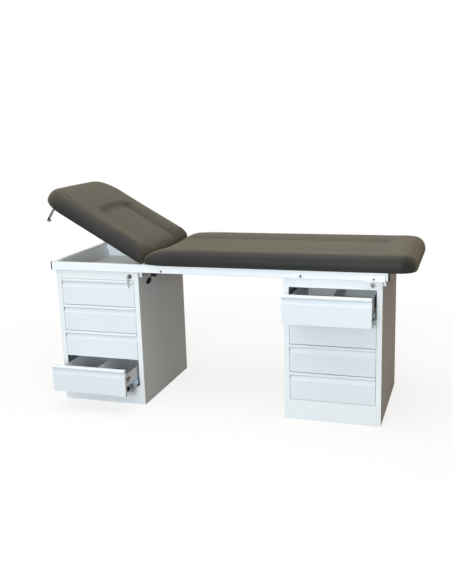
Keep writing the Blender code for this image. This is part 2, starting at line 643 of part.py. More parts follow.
def pad(name, reach, hinge_round, far_corner, end_length, end_rise, parent):
    """A crowned pad with drawn-in sides, and a channel that runs out over its hinge end.

    reach is from the hinge axis to the far end, negative towards the head; end_length is how much of
    the far end stands above the channel, and end_rise how far its middle swells above the sides.
    """
    way = 1 if reach > 0 else -1
    end = hinge_end(hinge_round)
    bm = bmesh.new()
    loops = []
    for rise, side_in, hinge_in, far_in, share in pad_rings(end_length, hinge_round):
        plan = pad_loop(way * (end + hinge_in), reach - way * far_in, side_in, far_corner)
        loop = []
        for x, y in plan:
            across = min(1.0, max(0.0, (PAD_WIDTH / 2 - abs(y) - BOLSTER_WIDTH) / BOLSTER_FALL)) ** 2
            from_end = abs(reach) - abs(x)
            along = smooth_step((from_end - end_length + CHANNEL_SLOPE) / CHANNEL_SLOPE)
            swell = math.sin(math.pi * min(1.0, from_end / end_length)) * math.cos(math.pi * y / PAD_WIDTH)
            lift = share * (end_rise * swell - CHANNEL_DEPTH * across * along)
            loop.append(bm.verts.new((x, y, PAD_FLOOR + rise + lift)))
        loops.append(loop)
    for lower, upper in zip(loops, loops[1:]):
        for here in range(len(lower)):
            after = (here + 1) % len(lower)
            bm.faces.new((lower[here], lower[after], upper[after], upper[here]))
    bm.faces.new(loops[0])
    bm.faces.new(loops[-1])
    body = add(name, bm, parent, BLACK_VINYL, smooth=60)
    pocket = board_outline(reach, far_corner, SEAT_GAP, -BOARD_HINGE_GAP)
    cut(body, prism(f"{name}_pocket", pocket, "Z", PAD_FLOOR - BOARD_THICKNESS, BOARD_TOP + SEAT_GAP,
                    parent, BLACK_VINYL))


def board_outline(reach, far_corner, grow, near):
    """Plan outline of a board, grown on all sides but its hinge end."""
    way = 1 if reach > 0 else -1
    inset = BOARD_INSET - grow
    arcs = corner_arcs(way * near, reach - way * inset, PAD_WIDTH / 2 - inset, BOARD_HINGE_GAP,
                       far_corner - inset)
    return [point for corner in arcs for point in corner]


def board(name, reach, far_corner, parent):
    """A plywood board with a rebate for its hinge leaf."""
    way = 1 if reach > 0 else -1
    outline = board_outline(reach, far_corner, 0.0, BOARD_HINGE_GAP)
    body = prism(name, outline, "Z", PAD_FLOOR, BOARD_TOP, parent, PLYWOOD)
    ends = sorted((0.0, way * (HINGE_LEAF_WIDTH + SEAT_GAP)))
    half = HINGE_LENGTH / 2 + SEAT_GAP
    cut(body, block(f"{name}_rebate", (ends[0], -half, BOARD_TOP - HINGE_LEAF_THICKNESS - SEAT_GAP),
                    (ends[1], half, BOARD_TOP + SEAT_GAP), parent, PLYWOOD))


def hinge_leaf(name, way, first, parent):
    """A leaf let into its board, with every second knuckle of the barrel."""
    half = HINGE_LENGTH / 2
    low, high = BOARD_TOP - HINGE_LEAF_THICKNESS, BOARD_TOP
    ends = sorted((way * (HINGE_BARREL_RADIUS + 2 * RUN_GAP), way * HINGE_LEAF_WIDTH))
    leaf = block(name, (ends[0], -half, low), (ends[1], half, high), parent, ZINC)
    pitch = HINGE_LENGTH / HINGE_KNUCKLES
    for index in range(first, HINGE_KNUCKLES, 2):
        start, end = -half + index * pitch + RUN_GAP, -half + (index + 1) * pitch - RUN_GAP
        web = sorted((way * HINGE_LEAF_WIDTH / 2, way * HINGE_PIN_RADIUS))
        join(leaf, block(f"{name}_web_{index}", (web[0], start, low), (web[1], end, high), parent, ZINC),
             cylinder(f"{name}_knuckle_{index}", HINGE_BARREL_RADIUS, (0, start, 0), (0, end, 0), parent,
                      ZINC, sides=16))
    cut(leaf, cylinder(f"{name}_bore", HINGE_BORE_RADIUS, (0, -PAD_WIDTH, 0), (0, PAD_WIDTH, 0), parent,
                       ZINC, sides=16))


pad("seat_pad", SEAT_REACH, SEAT_HINGE_ROUND, FOOT_CORNER, FOOT_ROLL_LENGTH, FOOT_ROLL_RISE, seat)
pad("headrest_pad", -HEADREST_REACH, HEADREST_HINGE_ROUND, HEAD_CORNER, PILLOW_LENGTH, PILLOW_RISE, headrest)
board("seat_board", SEAT_REACH, FOOT_CORNER, seat)
board("headrest_board", -HEADREST_REACH, HEAD_CORNER, headrest)
hinge_leaf("hinge_seat_leaf", 1, 1, seat)
hinge_leaf("hinge_headrest_leaf", -1, 0, headrest)
half_hinge = HINGE_LENGTH / 2
cylinder("hinge_pin", HINGE_PIN_RADIUS, (0, -half_hinge, 0), (0, half_hinge, 0), seat, CHROME, sides=16)


# Gas spring: a crank under the headrest board pushes and pulls a rod in a cylinder under the seat
def crank_end(tilt):
    """The crank pin's place from the hinge axis, when the headrest is tilted."""
    turn = tilt - CRANK_MIDDLE
    return -CRANK_RADIUS * math.sin(turn), -CRANK_RADIUS * math.cos(turn)


def crank():
    base_top = PAD_FLOOR - SEAT_GAP
    base_low = base_top - SPRING_BRACKET_SHEET
    base_start, base_end = -BOARD_HINGE_GAP - CRANK_BASE_LENGTH, -BOARD_HINGE_GAP
    half = CRANK_BASE_WIDTH / 2
    side = -ROD_EYE_WIDTH / 2 - RUN_GAP
    base = block("gas_spring_crank", (base_start, -half, base_low), (base_end, half, base_top), headrest,
                 BLACK_STEEL)
    pin_x, pin_z = crank_end(0.0)
    outline = [(base_start + CRANK_BASE_LENGTH / 3, base_low + RUN_GAP)]
    outline += arc((pin_x, pin_z), CRANK_EYE_RADIUS, 225, 405, 10)
    outline.append((base_end, base_low + RUN_GAP))
    join(base, prism("crank_arm", outline, "Y", side - CRANK_THICKNESS, side, headrest, BLACK_STEEL))
    join(base, cylinder("crank_pin", CRANK_PIN_RADIUS, (pin_x, side - CRANK_THICKNESS / 2, pin_z),
                        (pin_x, -side + RUN_GAP, pin_z), headrest, BLACK_STEEL))


def gas_spring():
    """Rod and cylinder lie level, at the middle of the crank pin's small rise and fall."""
    eye_x = crank_end(HEADREST_TILT)[0]
    rod_slide = empty("gas_rod_slide", (eye_x, 0, -SPRING_DROP), seat)
    half = ROD_EYE_WIDTH / 2
    rod = cylinder("gas_spring_rod", ROD_EYE_RADIUS, (0, -half, 0), (0, half, 0), rod_slide, CHROME)
    join(rod, cylinder("rod_shaft", ROD_RADIUS, (ROD_EYE_BORE + RUN_GAP, 0, 0), (ROD_LENGTH, 0, 0), rod_slide,
                       CHROME))
    cut(rod, cylinder("rod_eye_bore", ROD_EYE_BORE, (0, -2 * half, 0), (0, 2 * half, 0), rod_slide, CHROME))

    start = eye_x + CYLINDER_OFFSET
    end = start + CYLINDER_LENGTH
    tongue = end + CYLINDER_TONGUE
    body = cylinder("gas_spring_cylinder", CYLINDER_RADIUS, (start, 0, -SPRING_DROP), (end, 0, -SPRING_DROP),
                    seat, BLACK_STEEL)
    wide = TONGUE_WIDTH / 2
    tall = CYLINDER_RADIUS * 0.8
    join(body, block("cylinder_tongue", (end - CYLINDER_RADIUS, -wide, -SPRING_DROP - tall),
                     (tongue + CYLINDER_RADIUS / 2, wide, -SPRING_DROP + tall), seat, BLACK_STEEL))
    cut(body, cylinder("cylinder_bore", ROD_RADIUS + RUN_GAP, (start - CYLINDER_RADIUS, 0, -SPRING_DROP),
                       (end - CYLINDER_RADIUS, 0, -SPRING_DROP), seat, BLACK_STEEL),
        cylinder("tongue_bore", CRANK_PIN_RADIUS + SEAT_GAP, (tongue, -2 * wide, -SPRING_DROP),
                 (tongue, 2 * wide, -SPRING_DROP), seat, BLACK_STEEL))

    top = PAD_FLOOR - SEAT_GAP
    cheek, long = wide + SEAT_GAP, SPRING_BRACKET_WIDTH / 2
    low = -SPRING_DROP - tall
    holder = block("gas_spring_bracket", (tongue - long, -long - cheek, top - SPRING_BRACKET_SHEET),
                   (tongue + long, long + cheek, top), seat, BLACK_STEEL)
    for hand, way in (("front", -1), ("rear", 1)):
        sides = sorted((way * cheek, way * (cheek + SPRING_BRACKET_SHEET)))
        join(holder, block(f"bracket_{hand}_cheek", (tongue - long / 2, sides[0], low),
                           (tongue + long / 2, sides[1], top - SPRING_BRACKET_SHEET / 2), seat, BLACK_STEEL))
    reach = cheek + SPRING_BRACKET_SHEET
    join(holder, cylinder("bracket_pin", CRANK_PIN_RADIUS, (tongue, -reach, -SPRING_DROP),
                          (tongue, reach, -SPRING_DROP), seat, BLACK_STEEL))


crank()
gas_spring()


# Release lever: a bracket behind the front rail, a lever that turns on it, and a grip
def release_lever():
    pivot_z = RAIL_BOTTOM - LEVER_DROP
    rail_back = rail_rows["front_rail"] + RAIL_WIDTH
    bracket_y = rail_back + SEAT_GAP
    left, near = LEVER_X - LEVER_BRACKET_WIDTH / 2, LEVER_X + LEVER_BRACKET_WIDTH / 2
    low, high = pivot_z - LEVER_HUB_RADIUS * 3 / 2, RAIL_BOTTOM + RAIL_HEIGHT / 2
    right = LEVER_BRACKET_BOLT_X + LEVER_BRACKET_WIDTH / 2
    outline = [(left, low), (near, low), (near + LEVER_HUB_RADIUS, pivot_z), (right, RAIL_BOTTOM),
               (right, high), (left, high)]
    bracket = prism("lever_bracket", outline, "Y", bracket_y, bracket_y + LEVER_BRACKET_SHEET, couch,
                    BLACK_STEEL)
    hub_back = bracket_y - LEVER_STANDOFF
    hub_front = hub_back - LEVER_HUB_WIDTH
    root = (LEVER_X, bracket_y + LEVER_BRACKET_SHEET / 2, pivot_z)
    join(bracket, cylinder("lever_collar", LEVER_COLLAR_RADIUS, (LEVER_X, hub_back + RUN_GAP, pivot_z), root,
                           couch, BLACK_STEEL),
         cylinder("lever_pin", LEVER_PIN_RADIUS, (LEVER_X, hub_front - RUN_GAP, pivot_z), root, couch,
                  BLACK_STEEL))

    middle_y = (hub_front + hub_back) / 2
    turn = empty("release_lever_turn", (LEVER_X, middle_y, pivot_z), couch)
    half = LEVER_HUB_WIDTH / 2
    toward = Vector((math.cos(LEVER_ANGLE), 0, math.sin(LEVER_ANGLE)))
    lever = cylinder("release_lever", LEVER_HUB_RADIUS, (0, -half, 0), (0, half, 0), turn, BLACK_STEEL)
    join(lever, cylinder("lever_rod", LEVER_ROD_RADIUS, toward * (LEVER_PIN_RADIUS + 3 * RUN_GAP),
                         toward * LEVER_REACH, turn, BLACK_STEEL, sides=12))
    cut(lever, cylinder("lever_bore", LEVER_PIN_RADIUS + RUN_GAP, (0, -2 * half, 0), (0, 2 * half, 0), turn,
                        BLACK_STEEL))

    bm = bmesh.new()
    bmesh.ops.create_uvsphere(bm, u_segments=20, v_segments=12, radius=0.5)
    bmesh.ops.scale(bm, vec=(GRIP_THICKNESS, GRIP_THICKNESS, GRIP_LENGTH), verts=bm.verts)
    lie = toward.to_track_quat("Z", "Y").to_matrix()
    bmesh.ops.rotate(bm, cent=(0, 0, 0), matrix=lie, verts=bm.verts)
    grip = add("lever_grip", bm, turn, BLACK_PLASTIC, toward * LEVER_REACH, smooth=60)
    cut(grip, cylinder("grip_bore", LEVER_ROD_RADIUS + SEAT_GAP, toward * (LEVER_REACH - GRIP_LENGTH),
                       toward * (LEVER_REACH + SEAT_GAP), turn, BLACK_PLASTIC, sides=12))


release_lever()


# Paper-roll arms: a foot on the headrest board, a straight arm and a bent-in stub for the roll
def roll_arm(name, inward):
    """A bent bar made as a curve, then a mesh, and joined to its foot."""
    x, y = -ROLL_ARM_REACH, -inward * (PAD_WIDTH / 2 - ROLL_ARM_INSET)
    top = PAD_FLOOR - SEAT_GAP
    lean = math.tan(ROLL_ARM_LEAN)
    bottom = PAD_FLOOR - ROLL_ARM_LENGTH + ROLL_ARM_RADIUS
    bend = [(y + inward * (ROLL_ARM_BEND - a), bottom + ROLL_ARM_BEND + b)
            for a, b in arc((0, 0), ROLL_ARM_BEND, 0, -90, 6)]
    route = [(y, top - ROLL_FOOT_THICKNESS / 2)] + bend + [(y + inward * ROLL_STUB_LENGTH, bottom)]
    line = bpy.data.curves.new(name, "CURVE")
    line.dimensions = "3D"
    line.bevel_depth = ROLL_ARM_RADIUS
    line.bevel_resolution = 3
    line.use_fill_caps = True
    spline = line.splines.new("POLY")
    spline.points.add(len(route) - 1)
    for point, (along, height) in zip(spline.points, route):
        point.co = (x + lean * (height - top), along, height, 1.0)
    guide = bpy.data.objects.new(f"{name}_route", line)
    parts.objects.link(guide)
    mesh = bpy.data.meshes.new_from_object(guide.evaluated_get(bpy.context.evaluated_depsgraph_get()))
    bpy.data.objects.remove(guide)
    bm = bmesh.new()
    bm.from_mesh(mesh)
    bmesh.ops.remove_doubles(bm, verts=bm.verts, dist=0.00001)
    arm = add(name, bm, headrest, CHROME, smooth=50)
    join(arm, cylinder(f"{name}_foot", ROLL_FOOT_RADIUS, (x, y, top - ROLL_FOOT_THICKNESS), (x, y, top),
                       headrest, CHROME))


roll_arm("front_roll_arm", 1)
roll_arm("rear_roll_arm", -1)


# The origin goes to the floor, under the middle of the couch as it stands
bpy.context.view_layer.update()
graph = bpy.context.evaluated_depsgraph_get()
points = []
for part in parts.objects:
    if part.type == "MESH":
        shape = part.evaluated_get(graph)
        points += [shape.matrix_world @ vertex.co for vertex in shape.data.vertices]
low = [min(point[i] for point in points) for i in range(3)]
high = [max(point[i] for point in points) for i in range(3)]
couch.location = (-(low[0] + high[0]) / 2, -(low[1] + high[1]) / 2, -low[2])
bpy.context.view_layer.update()
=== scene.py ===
import json
import math

import bmesh
import bpy
import numpy as np
from mathutils import Matrix, Vector


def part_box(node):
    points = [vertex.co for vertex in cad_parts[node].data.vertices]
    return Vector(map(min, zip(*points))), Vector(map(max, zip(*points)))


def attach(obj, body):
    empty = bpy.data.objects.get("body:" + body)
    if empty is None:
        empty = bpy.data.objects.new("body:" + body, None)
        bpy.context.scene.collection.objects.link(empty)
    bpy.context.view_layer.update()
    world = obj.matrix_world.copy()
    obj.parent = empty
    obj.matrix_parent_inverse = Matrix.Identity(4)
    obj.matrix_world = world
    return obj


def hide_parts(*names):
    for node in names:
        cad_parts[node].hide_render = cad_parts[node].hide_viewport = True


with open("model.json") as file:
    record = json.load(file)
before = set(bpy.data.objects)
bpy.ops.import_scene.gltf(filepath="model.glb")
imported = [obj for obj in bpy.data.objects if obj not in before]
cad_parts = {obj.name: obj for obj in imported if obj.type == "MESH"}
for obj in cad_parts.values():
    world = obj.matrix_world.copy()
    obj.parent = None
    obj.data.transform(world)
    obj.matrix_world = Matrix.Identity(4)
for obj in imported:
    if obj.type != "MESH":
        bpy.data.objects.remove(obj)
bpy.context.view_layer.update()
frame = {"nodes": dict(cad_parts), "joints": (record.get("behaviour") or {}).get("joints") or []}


# The two cabinets are folded from steel sheet, spot welded, and powder coated white.
# The coat has a faint orange peel, tones that drift a little over a wide panel, and scuffs near the floor.
# Inside the boxes, below the tray, the colour turns a dark grey that is painted shade, where little light
# gets in.
class Field:
    """A value that changes over a surface; arithmetic on it adds Math nodes to its material."""

    def __init__(self, tree, socket):
        self.tree = tree
        self.socket = socket

    def feed(self, node, inputs):
        """Gives each named input of a node its value, or a link from another field."""
        for name, value in inputs.items():
            if isinstance(value, Field):
                self.tree.links.new(value.socket, node.inputs[name])
            else:
                node.inputs[name].default_value = value

    def node(self, kind, settings, inputs, output=0):
        """Adds a node: its settings first, then its inputs. The result is one of its outputs."""
        made = self.tree.nodes.new(kind)
        for name, value in settings.items():
            setattr(made, name, value)
        self.feed(made, inputs)
        return Field(self.tree, made.outputs[output])

    def math(self, operation, first, second=0.0):
        return self.node("ShaderNodeMath", {"operation": operation}, {0: first, 1: second})

    def __add__(self, other):
        return self.math("ADD", self, other)

    def __sub__(self, other):
        return self.math("SUBTRACT", self, other)

    def __rsub__(self, other):
        return self.math("SUBTRACT", other, self)

    def __mul__(self, other):
        return self.math("MULTIPLY", self, other)

    __radd__ = __add__
    __rmul__ = __mul__

    def size(self):
        return self.math("ABSOLUTE", self)

    def least(self, other):
        return self.math("MINIMUM", self, other)

    def most(self, other):
        return self.math("MAXIMUM", self, other)

    def wave(self):
        return self.math("SINE", self)

    def along(self, axis):
        """One coordinate of a place: 0, 1 and 2 are X, Y and Z."""
        return self.node("ShaderNodeSeparateXYZ", {}, {"Vector": self}, axis)

    def rise(self, low, high):
        """0 below low and 1 above high, with a smooth step between."""
        return self.node("ShaderNodeMapRange", {"interpolation_type": "SMOOTHSTEP"},
                         {"Value": self, "From Min": low, "From Max": high})

    def past(self, level, fade):
        """0 up to a level and 1 beyond it, with an edge as wide as the fade."""
        return self.rise(level, level + fade)

    def noise(self, scale, detail, roughness=0.5):
        return self.node("ShaderNodeTexNoise", {},
                         {"Vector": self, "Scale": scale, "Detail": detail, "Roughness": roughness})

    def stretched(self, scale, turn=(0.0, 0.0, 0.0)):
        """The same places, turned and then stretched, for a grain with a direction."""
        turned = self.node("ShaderNodeMapping", {"vector_type": "POINT"}, {"Vector": self, "Rotation": turn})
        return turned.node("ShaderNodeMapping", {"vector_type": "POINT"}, {"Vector": turned, "Scale": scale})

    def tint(self, low, high):
        """A colour between two, low where the field is 0 and high where it is 1."""
        def color(value):
            return value if isinstance(value, Field) else (*value, 1.0)
        return self.node("ShaderNodeMix", {"data_type": "RGBA"},
                         {0: self, 6: color(low), 7: color(high)}, 2)

    def relief(self, depth, strength):
        """A bump of that depth in metres where the field goes from 0 to 1."""
        return self.node("ShaderNodeBump", {}, {"Strength": strength, "Distance": depth, "Height": self})


def finish(name):
    """A new material: itself, its surface shader, and the places on the surface in metres."""
    material = bpy.data.materials.new(name)
    material.use_nodes = True
    tree = material.node_tree
    places = Field(tree, tree.nodes.new("ShaderNodeTexCoord").outputs["Object"])
    return material, tree.nodes["Principled BSDF"], places


def dress(material, names):
    """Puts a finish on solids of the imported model; their shapes stay as they are."""
    for name in names:
        for slot in frame["nodes"][name].material_slots:
            slot.material = material


def named(*words):
    """The nodes whose names hold any of these words, in order."""
    return sorted(name for name in frame["nodes"] if any(word in name for word in words))


SIDES = ("left", "right")
# The dark grey inside the cabinet boxes is painted shade; it starts a little in from the walls, with a soft
# edge.
TRAY_DEPTH, SHADE_INSET, SHADE_FADE = 0.036, 0.0010, 0.0004
INSIDE_SHADE_GREY, SCUFF_GREY = (0.12, 0.14, 0.17), (0.45, 0.45, 0.44)
SCUFF_HEIGHT, SCUFF_STRENGTH = 0.07, 0.16


def powder_coat(name, tone, shade, cabinets=()):
    """White powder coat: drifting tone, orange peel, and grey scuffs that fade out above the floor.

    Inside the boxes of these cabinets, below the tray, the colour is a dark grey: painted shade.
    """
    material, shader, places = finish(name)
    near_floor = 1 - places.along(2).rise(0.0, SCUFF_HEIGHT)
    scuffs = places.noise(38.0, 5.0, 0.65).rise(0.60, 0.74) * near_floor * SCUFF_STRENGTH
    clean = places.noise(2.3, 3.0).rise(0.3, 0.7).tint(shade, tone)
    for low, high in cabinets:
        half = (high[0] - low[0]) / 2
        across = (places.along(0) - (low[0] + high[0]) / 2).size()
        # Painted shade: the inside of each cabinet box, below the tray, turns dark grey.
        inside = ((1 - across.past(half - SHADE_INSET, SHADE_FADE))
                  * places.along(1).past(low[1] + SHADE_INSET, SHADE_FADE)
                  * (1 - places.along(1).past(high[1] - SHADE_INSET, SHADE_FADE))
                  * (1 - places.along(2).past(high[2] - TRAY_DEPTH - SHADE_INSET, SHADE_FADE)))
        clean = inside.tint(clean, INSIDE_SHADE_GREY)
    peel = places.noise(420.0, 2.0)
    places.feed(shader, {"Base Color": scuffs.tint(clean, SCUFF_GREY),
                         "Roughness": places.noise(9.0, 3.0) * 0.14 + 0.38 + scuffs * 0.3,
                         "Specular IOR Level": 0.18, "Normal": peel.relief(0.00012, 0.35)})
    return material


# The cabinets' coat carries the painted shade inside their boxes.
cabinet_boxes = [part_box(f"{side}_cabinet_shell") for side in SIDES]
cabinet_coat_and_inside_shade = powder_coat("cabinet_powder_coat_and_inside_shade", (0.80, 0.84, 0.87), (0.77, 0.81, 0.845), cabinet_boxes)
dress(cabinet_coat_and_inside_shade, named("cabinet_shell", "front_bracket", "rear_bracket"))


# Runner panels are zinc-plated steel, fixed inside the cabinets, with a C channel for every drawer slide.
# Zinc shows a blue-grey cast, soft patches from the plating bath and fine rolling lines along the sheet.
def rolling_lines(places):
    """Fine lines along Y, as the mill leaves them on steel sheet."""
    return places.stretched((260.0, 6.0, 260.0)).noise(1.0, 3.0, 0.6)


def zinc_plate(name, dull, bright):
    """Plated steel whose patches go from a dull to a bright tone, under rolling lines."""
    material, shader, places = finish(name)
    patches = places.noise(26.0, 4.0, 0.6)
    lines = rolling_lines(places)
    places.feed(shader, {"Base Color": patches.rise(0.35, 0.65).tint(dull, bright), "Metallic": 1.0,
                         "Roughness": lines * 0.18 + patches * 0.12 + 0.20,
                         "Normal": lines.relief(0.00006, 0.4)})
    return material


dress(zinc_plate("zinc_plate", (0.42, 0.48, 0.55), (0.60, 0.66, 0.72)), named("runners"))


# Drawer fronts are folded pans: a flat panel, a hollow for the fingers and a lip rolled over outwards.
# They have the cabinets' coat in a slightly greyer batch, and each lip's end shows the rolled sheet.
RIGHT, BACK, UP = np.eye(3)
SHARP_EDGE = math.radians(40.0)


def ring_quads(rings, around):
    """Quads between each ring of points and the next, closed round."""
    i, j = np.meshgrid(np.arange(rings - 1), np.arange(around), indexing="ij")
    k = (j + 1) % around
    quads = (i * around + j, i * around + k, (i + 1) * around + k, (i + 1) * around + j)
    return np.stack(quads, -1).reshape(-1, 4)


def corners(node):
    """A node's lowest and highest corners as arrays."""
    return (np.array(corner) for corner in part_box(node))


def piece(name, shells, material, body):
    """A mesh of closed shells, each a grid of points whose rows are rings; the end rings are closed."""
    points, faces, start = [], [], 0
    for grid in shells:
        rows, columns = grid.shape[:2]
        points.append(grid.reshape(-1, 3))
        faces += (ring_quads(rows, columns) + start).tolist()
        faces += [(np.arange(columns)[::-1] + start).tolist(),
                  (np.arange(columns) + start + (rows - 1) * columns).tolist()]
        start += rows * columns
    mesh = bpy.data.meshes.new(name)
    mesh.from_pydata(np.concatenate(points), [], faces)
    bm = bmesh.new()
    bm.from_mesh(mesh)
    bmesh.ops.remove_doubles(bm, verts=bm.verts, dist=1e-6)
    bmesh.ops.dissolve_degenerate(bm, edges=bm.edges, dist=1e-7)
    bmesh.ops.recalc_face_normals(bm, faces=bm.faces)
    bm.to_mesh(mesh)
    bm.free()
    mesh.shade_smooth()
    mesh.set_sharp_from_angle(angle=SHARP_EDGE)
    mesh.materials.append(material)
    made = bpy.data.objects.new(name, mesh)
    bpy.context.scene.collection.objects.link(made)
    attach(made, body)


def swept(path, across, up, width, height, sides):
    """A rounded section carried along a path: each ring is the path's point plus a superellipse
    of that width and height in the directions across and up, which may change along the path."""
    turn = np.linspace(0, 2 * np.pi, sides, endpoint=False) + np.pi / sides
    c, s = np.cos(turn), np.sin(turn)
    a = np.sign(c) * np.abs(c) ** 0.5
    b = np.sign(s) * np.abs(s) ** 0.5
    path, across, up = np.broadcast_arrays(path, across, up)
    width = np.broadcast_to(width, len(path)) / 2
    height = np.broadcast_to(height, len(path)) / 2
    return (path[:, None] + across[:, None] * (width[:, None] * a)[..., None]
            + up[:, None] * (height[:, None] * b)[..., None])


drawers = [f"{side}_drawer_{row}" for side in SIDES for row in (1, 2, 3, 4)]
front_coat = powder_coat("front_powder_coat", (0.735, 0.785, 0.83), (0.71, 0.765, 0.81))
dress(front_coat, [f"{drawer}_front" for drawer in drawers])

# The roll at a lip's end is a spiral: an ellipse as large as the lip that shrinks while it turns.
LIP_HEIGHT, LIP_REACH, CURL_SHEET, CURL_PROUD = 0.0155, 0.005, 0.0011, 0.0004
CURL_STEPS = 40
turn = np.linspace(-0.55 * np.pi, 1.25 * np.pi, CURL_STEPS)
shrink = np.linspace(0.88, 0.34, CURL_STEPS)
roll = np.stack((0 * turn, -LIP_REACH * shrink * np.cos(turn), LIP_HEIGHT / 2 * shrink * np.sin(turn)), -1)
way = np.gradient(roll, axis=0)
out = np.cross(RIGHT, way / np.linalg.norm(way, axis=1, keepdims=True))
for drawer in drawers:
    low, high = corners(f"{drawer}_front")
    middle = np.array((0.0, low[1] + LIP_REACH, high[2] - LIP_HEIGHT / 2))
    curls = [swept(middle + roll + x * RIGHT, RIGHT, out, 2 * CURL_PROUD, CURL_SHEET, 8)
             for x in (low[0], high[0])]
    piece(f"{drawer}_lip_curls", curls, front_coat, drawer)


# Drawer boxes are thin sheet painted grey, with zinc slide bars along their sides.
# Each side has an embossed oval near the front, and the slides carry black plastic stops and ball cages.
BOX_HALF, BAR_SKIN, BAR_FADE = 0.1830, 0.0002, 0.0002
box_paint, box_shader, places = finish("drawer_box_paint")
box_middles = [sum(corner[0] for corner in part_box(f"{side}_drawer_2_box")) / 2 for side in SIDES]
away = (places.along(0) - box_middles[0]).size().least((places.along(0) - box_middles[1]).size())
bar = away.past(BOX_HALF + BAR_SKIN, BAR_FADE)
lines = rolling_lines(places)
drift = places.noise(7.0, 3.0)
paint = drift.rise(0.3, 0.7).tint((0.77, 0.80, 0.83), (0.82, 0.85, 0.88))
plate = drift.rise(0.35, 0.65).tint((0.44, 0.58, 0.70), (0.70, 0.78, 0.84))
places.feed(box_shader, {"Base Color": bar.tint(paint, plate), "Metallic": bar,
                         "Roughness": (1 - bar) * 0.18 + lines * 0.2 + 0.20, "Specular IOR Level": 0.3,
                         "Normal": lines.relief(0.00005, 0.35)})
dress(box_paint, named("_box"))


def moulded(name, tone, shade, roughness):
    """Moulded plastic: a fine spark-eroded grain and a slightly uneven sheen."""
    material, shader, places = finish(name)
    cloud = places.noise(30.0, 3.0)
    places.feed(shader, {"Base Color": cloud.rise(0.3, 0.7).tint(shade, tone),
                         "Roughness": cloud * 0.16 + roughness, "Specular IOR Level": 0.12,
                         "Normal": places.noise(1500.0, 1.0).relief(0.00008, 0.5)})
    return material


stop_plastic = moulded("slide_plastic", (0.018, 0.019, 0.022), (0.010, 0.011, 0.013), 0.38)
# The oval is dark grey, much darker than the box side around it, with a fine mottle.
dark_oval_grey, dark_oval_shader, places = finish("dark_oval_grey")
oval_mottle = places.noise(160.0, 3.0)
places.feed(dark_oval_shader, {"Base Color": oval_mottle.tint((0.13, 0.13, 0.135), (0.25, 0.25, 0.255)),
                            "Roughness": oval_mottle * 0.2 + 0.35, "Normal": oval_mottle.relief(0.0001, 0.4)})
BAR_LOW, BAR_HEIGHT, BAR_THICK = 0.002, 0.028, 0.0085

# Each slide fitting: how far it is behind the box's front edge, its length and its height.
FITTINGS = ((0.020, 0.034, 0.018), (0.062, 0.008, 0.022), (0.163, 0.022, 0.020), (0.250, 0.022, 0.014),
            (0.330, 0.012, 0.014))
FITTING_PROUD, FITTING_SUNK = 0.0016, 0.0004

# The embossed oval is a stack of ellipses: each is a share of the outline, raised so far off the wall.
OVAL_BEHIND, OVAL_BELOW, OVAL_HALF_LENGTH, OVAL_HALF_HEIGHT = 0.042, 0.027, 0.026, 0.0095
oval_share = np.array((1.0, 1.0, 0.92, 0.82, 0.74, 0.30))[:, None, None]
oval_rise = np.array((-0.0004, 0.0005, 0.0009, 0.0008, 0.0003, 0.0002))[:, None, None]
turn = np.linspace(0, 2 * np.pi, 40, endpoint=False)
oval = np.stack((0 * turn, OVAL_HALF_LENGTH * np.cos(turn), OVAL_HALF_HEIGHT * np.sin(turn)), -1)
for drawer in drawers:
    low, high = corners(f"{drawer}_box")
    bar_middle = low[2] + BAR_LOW + BAR_HEIGHT / 2
    stops, eyelets = [], []
    for face, way in ((low[0], -1.0), (high[0], 1.0)):
        for behind, length, height in FITTINGS:
            path = np.array([(face - FITTING_SUNK * way, low[1] + behind, bar_middle),
                             (face + FITTING_PROUD * way, low[1] + behind, bar_middle)])
            stops.append(swept(path, BACK, UP, length, height, 16))
        center = np.array((face - way * BAR_THICK, low[1] + OVAL_BEHIND, high[2] - OVAL_BELOW))
        eyelets.append(center + oval * oval_share + way * oval_rise * RIGHT)
    piece(f"{drawer}_slide_fittings", stops, stop_plastic, drawer)
    piece(f"{drawer}_eyelets", eyelets, dark_oval_grey, drawer)


# Cam locks in nickel-plated brass, one in each fascia; the left one holds a key.
# A split ring through that key's bow carries the second key, which hangs in front of the top drawer.
nickel, nickel_shader, places = finish("lock_nickel")
wear = places.noise(210.0, 4.0, 0.6)
places.feed(nickel_shader, {"Base Color": wear.rise(0.35, 0.7).tint((0.26, 0.25, 0.23), (0.50, 0.49, 0.46)),
                            "Metallic": 1.0, "Roughness": wear * 0.22 + 0.24,
                            "Normal": places.noise(900.0, 2.0).relief(0.00005, 0.3)})
dress(nickel, named("_lock_", "left_key"))

# The ring is two turns of wire, side by side.
KEY_BOW, HOLE_RADIUS, WIRE, RING = 0.011, 0.0045, 0.0006, 0.0078
RING_WIRE, RING_STEPS = 1.7 * WIRE, 120
key_low, key_high = corners("left_key")
key_middle = (key_low + key_high) / 2
hole = np.array((key_middle[0], key_low[1] + KEY_BOW * 2 / 3, key_middle[2]))
ring_middle = hole - (HOLE_RADIUS - WIRE + RING) * UP
turn = np.linspace(0, 4 * np.pi, RING_STEPS)
coil = np.stack((RING * np.cos(turn), np.linspace(-WIRE, WIRE, RING_STEPS), RING * np.sin(turn)), -1)
out = np.stack((np.cos(turn), 0 * turn, np.sin(turn)), -1)
piece("key_ring", [swept(ring_middle + coil, out, BACK, RING_WIRE, RING_WIRE, 10)], nickel,
      "left_lock")

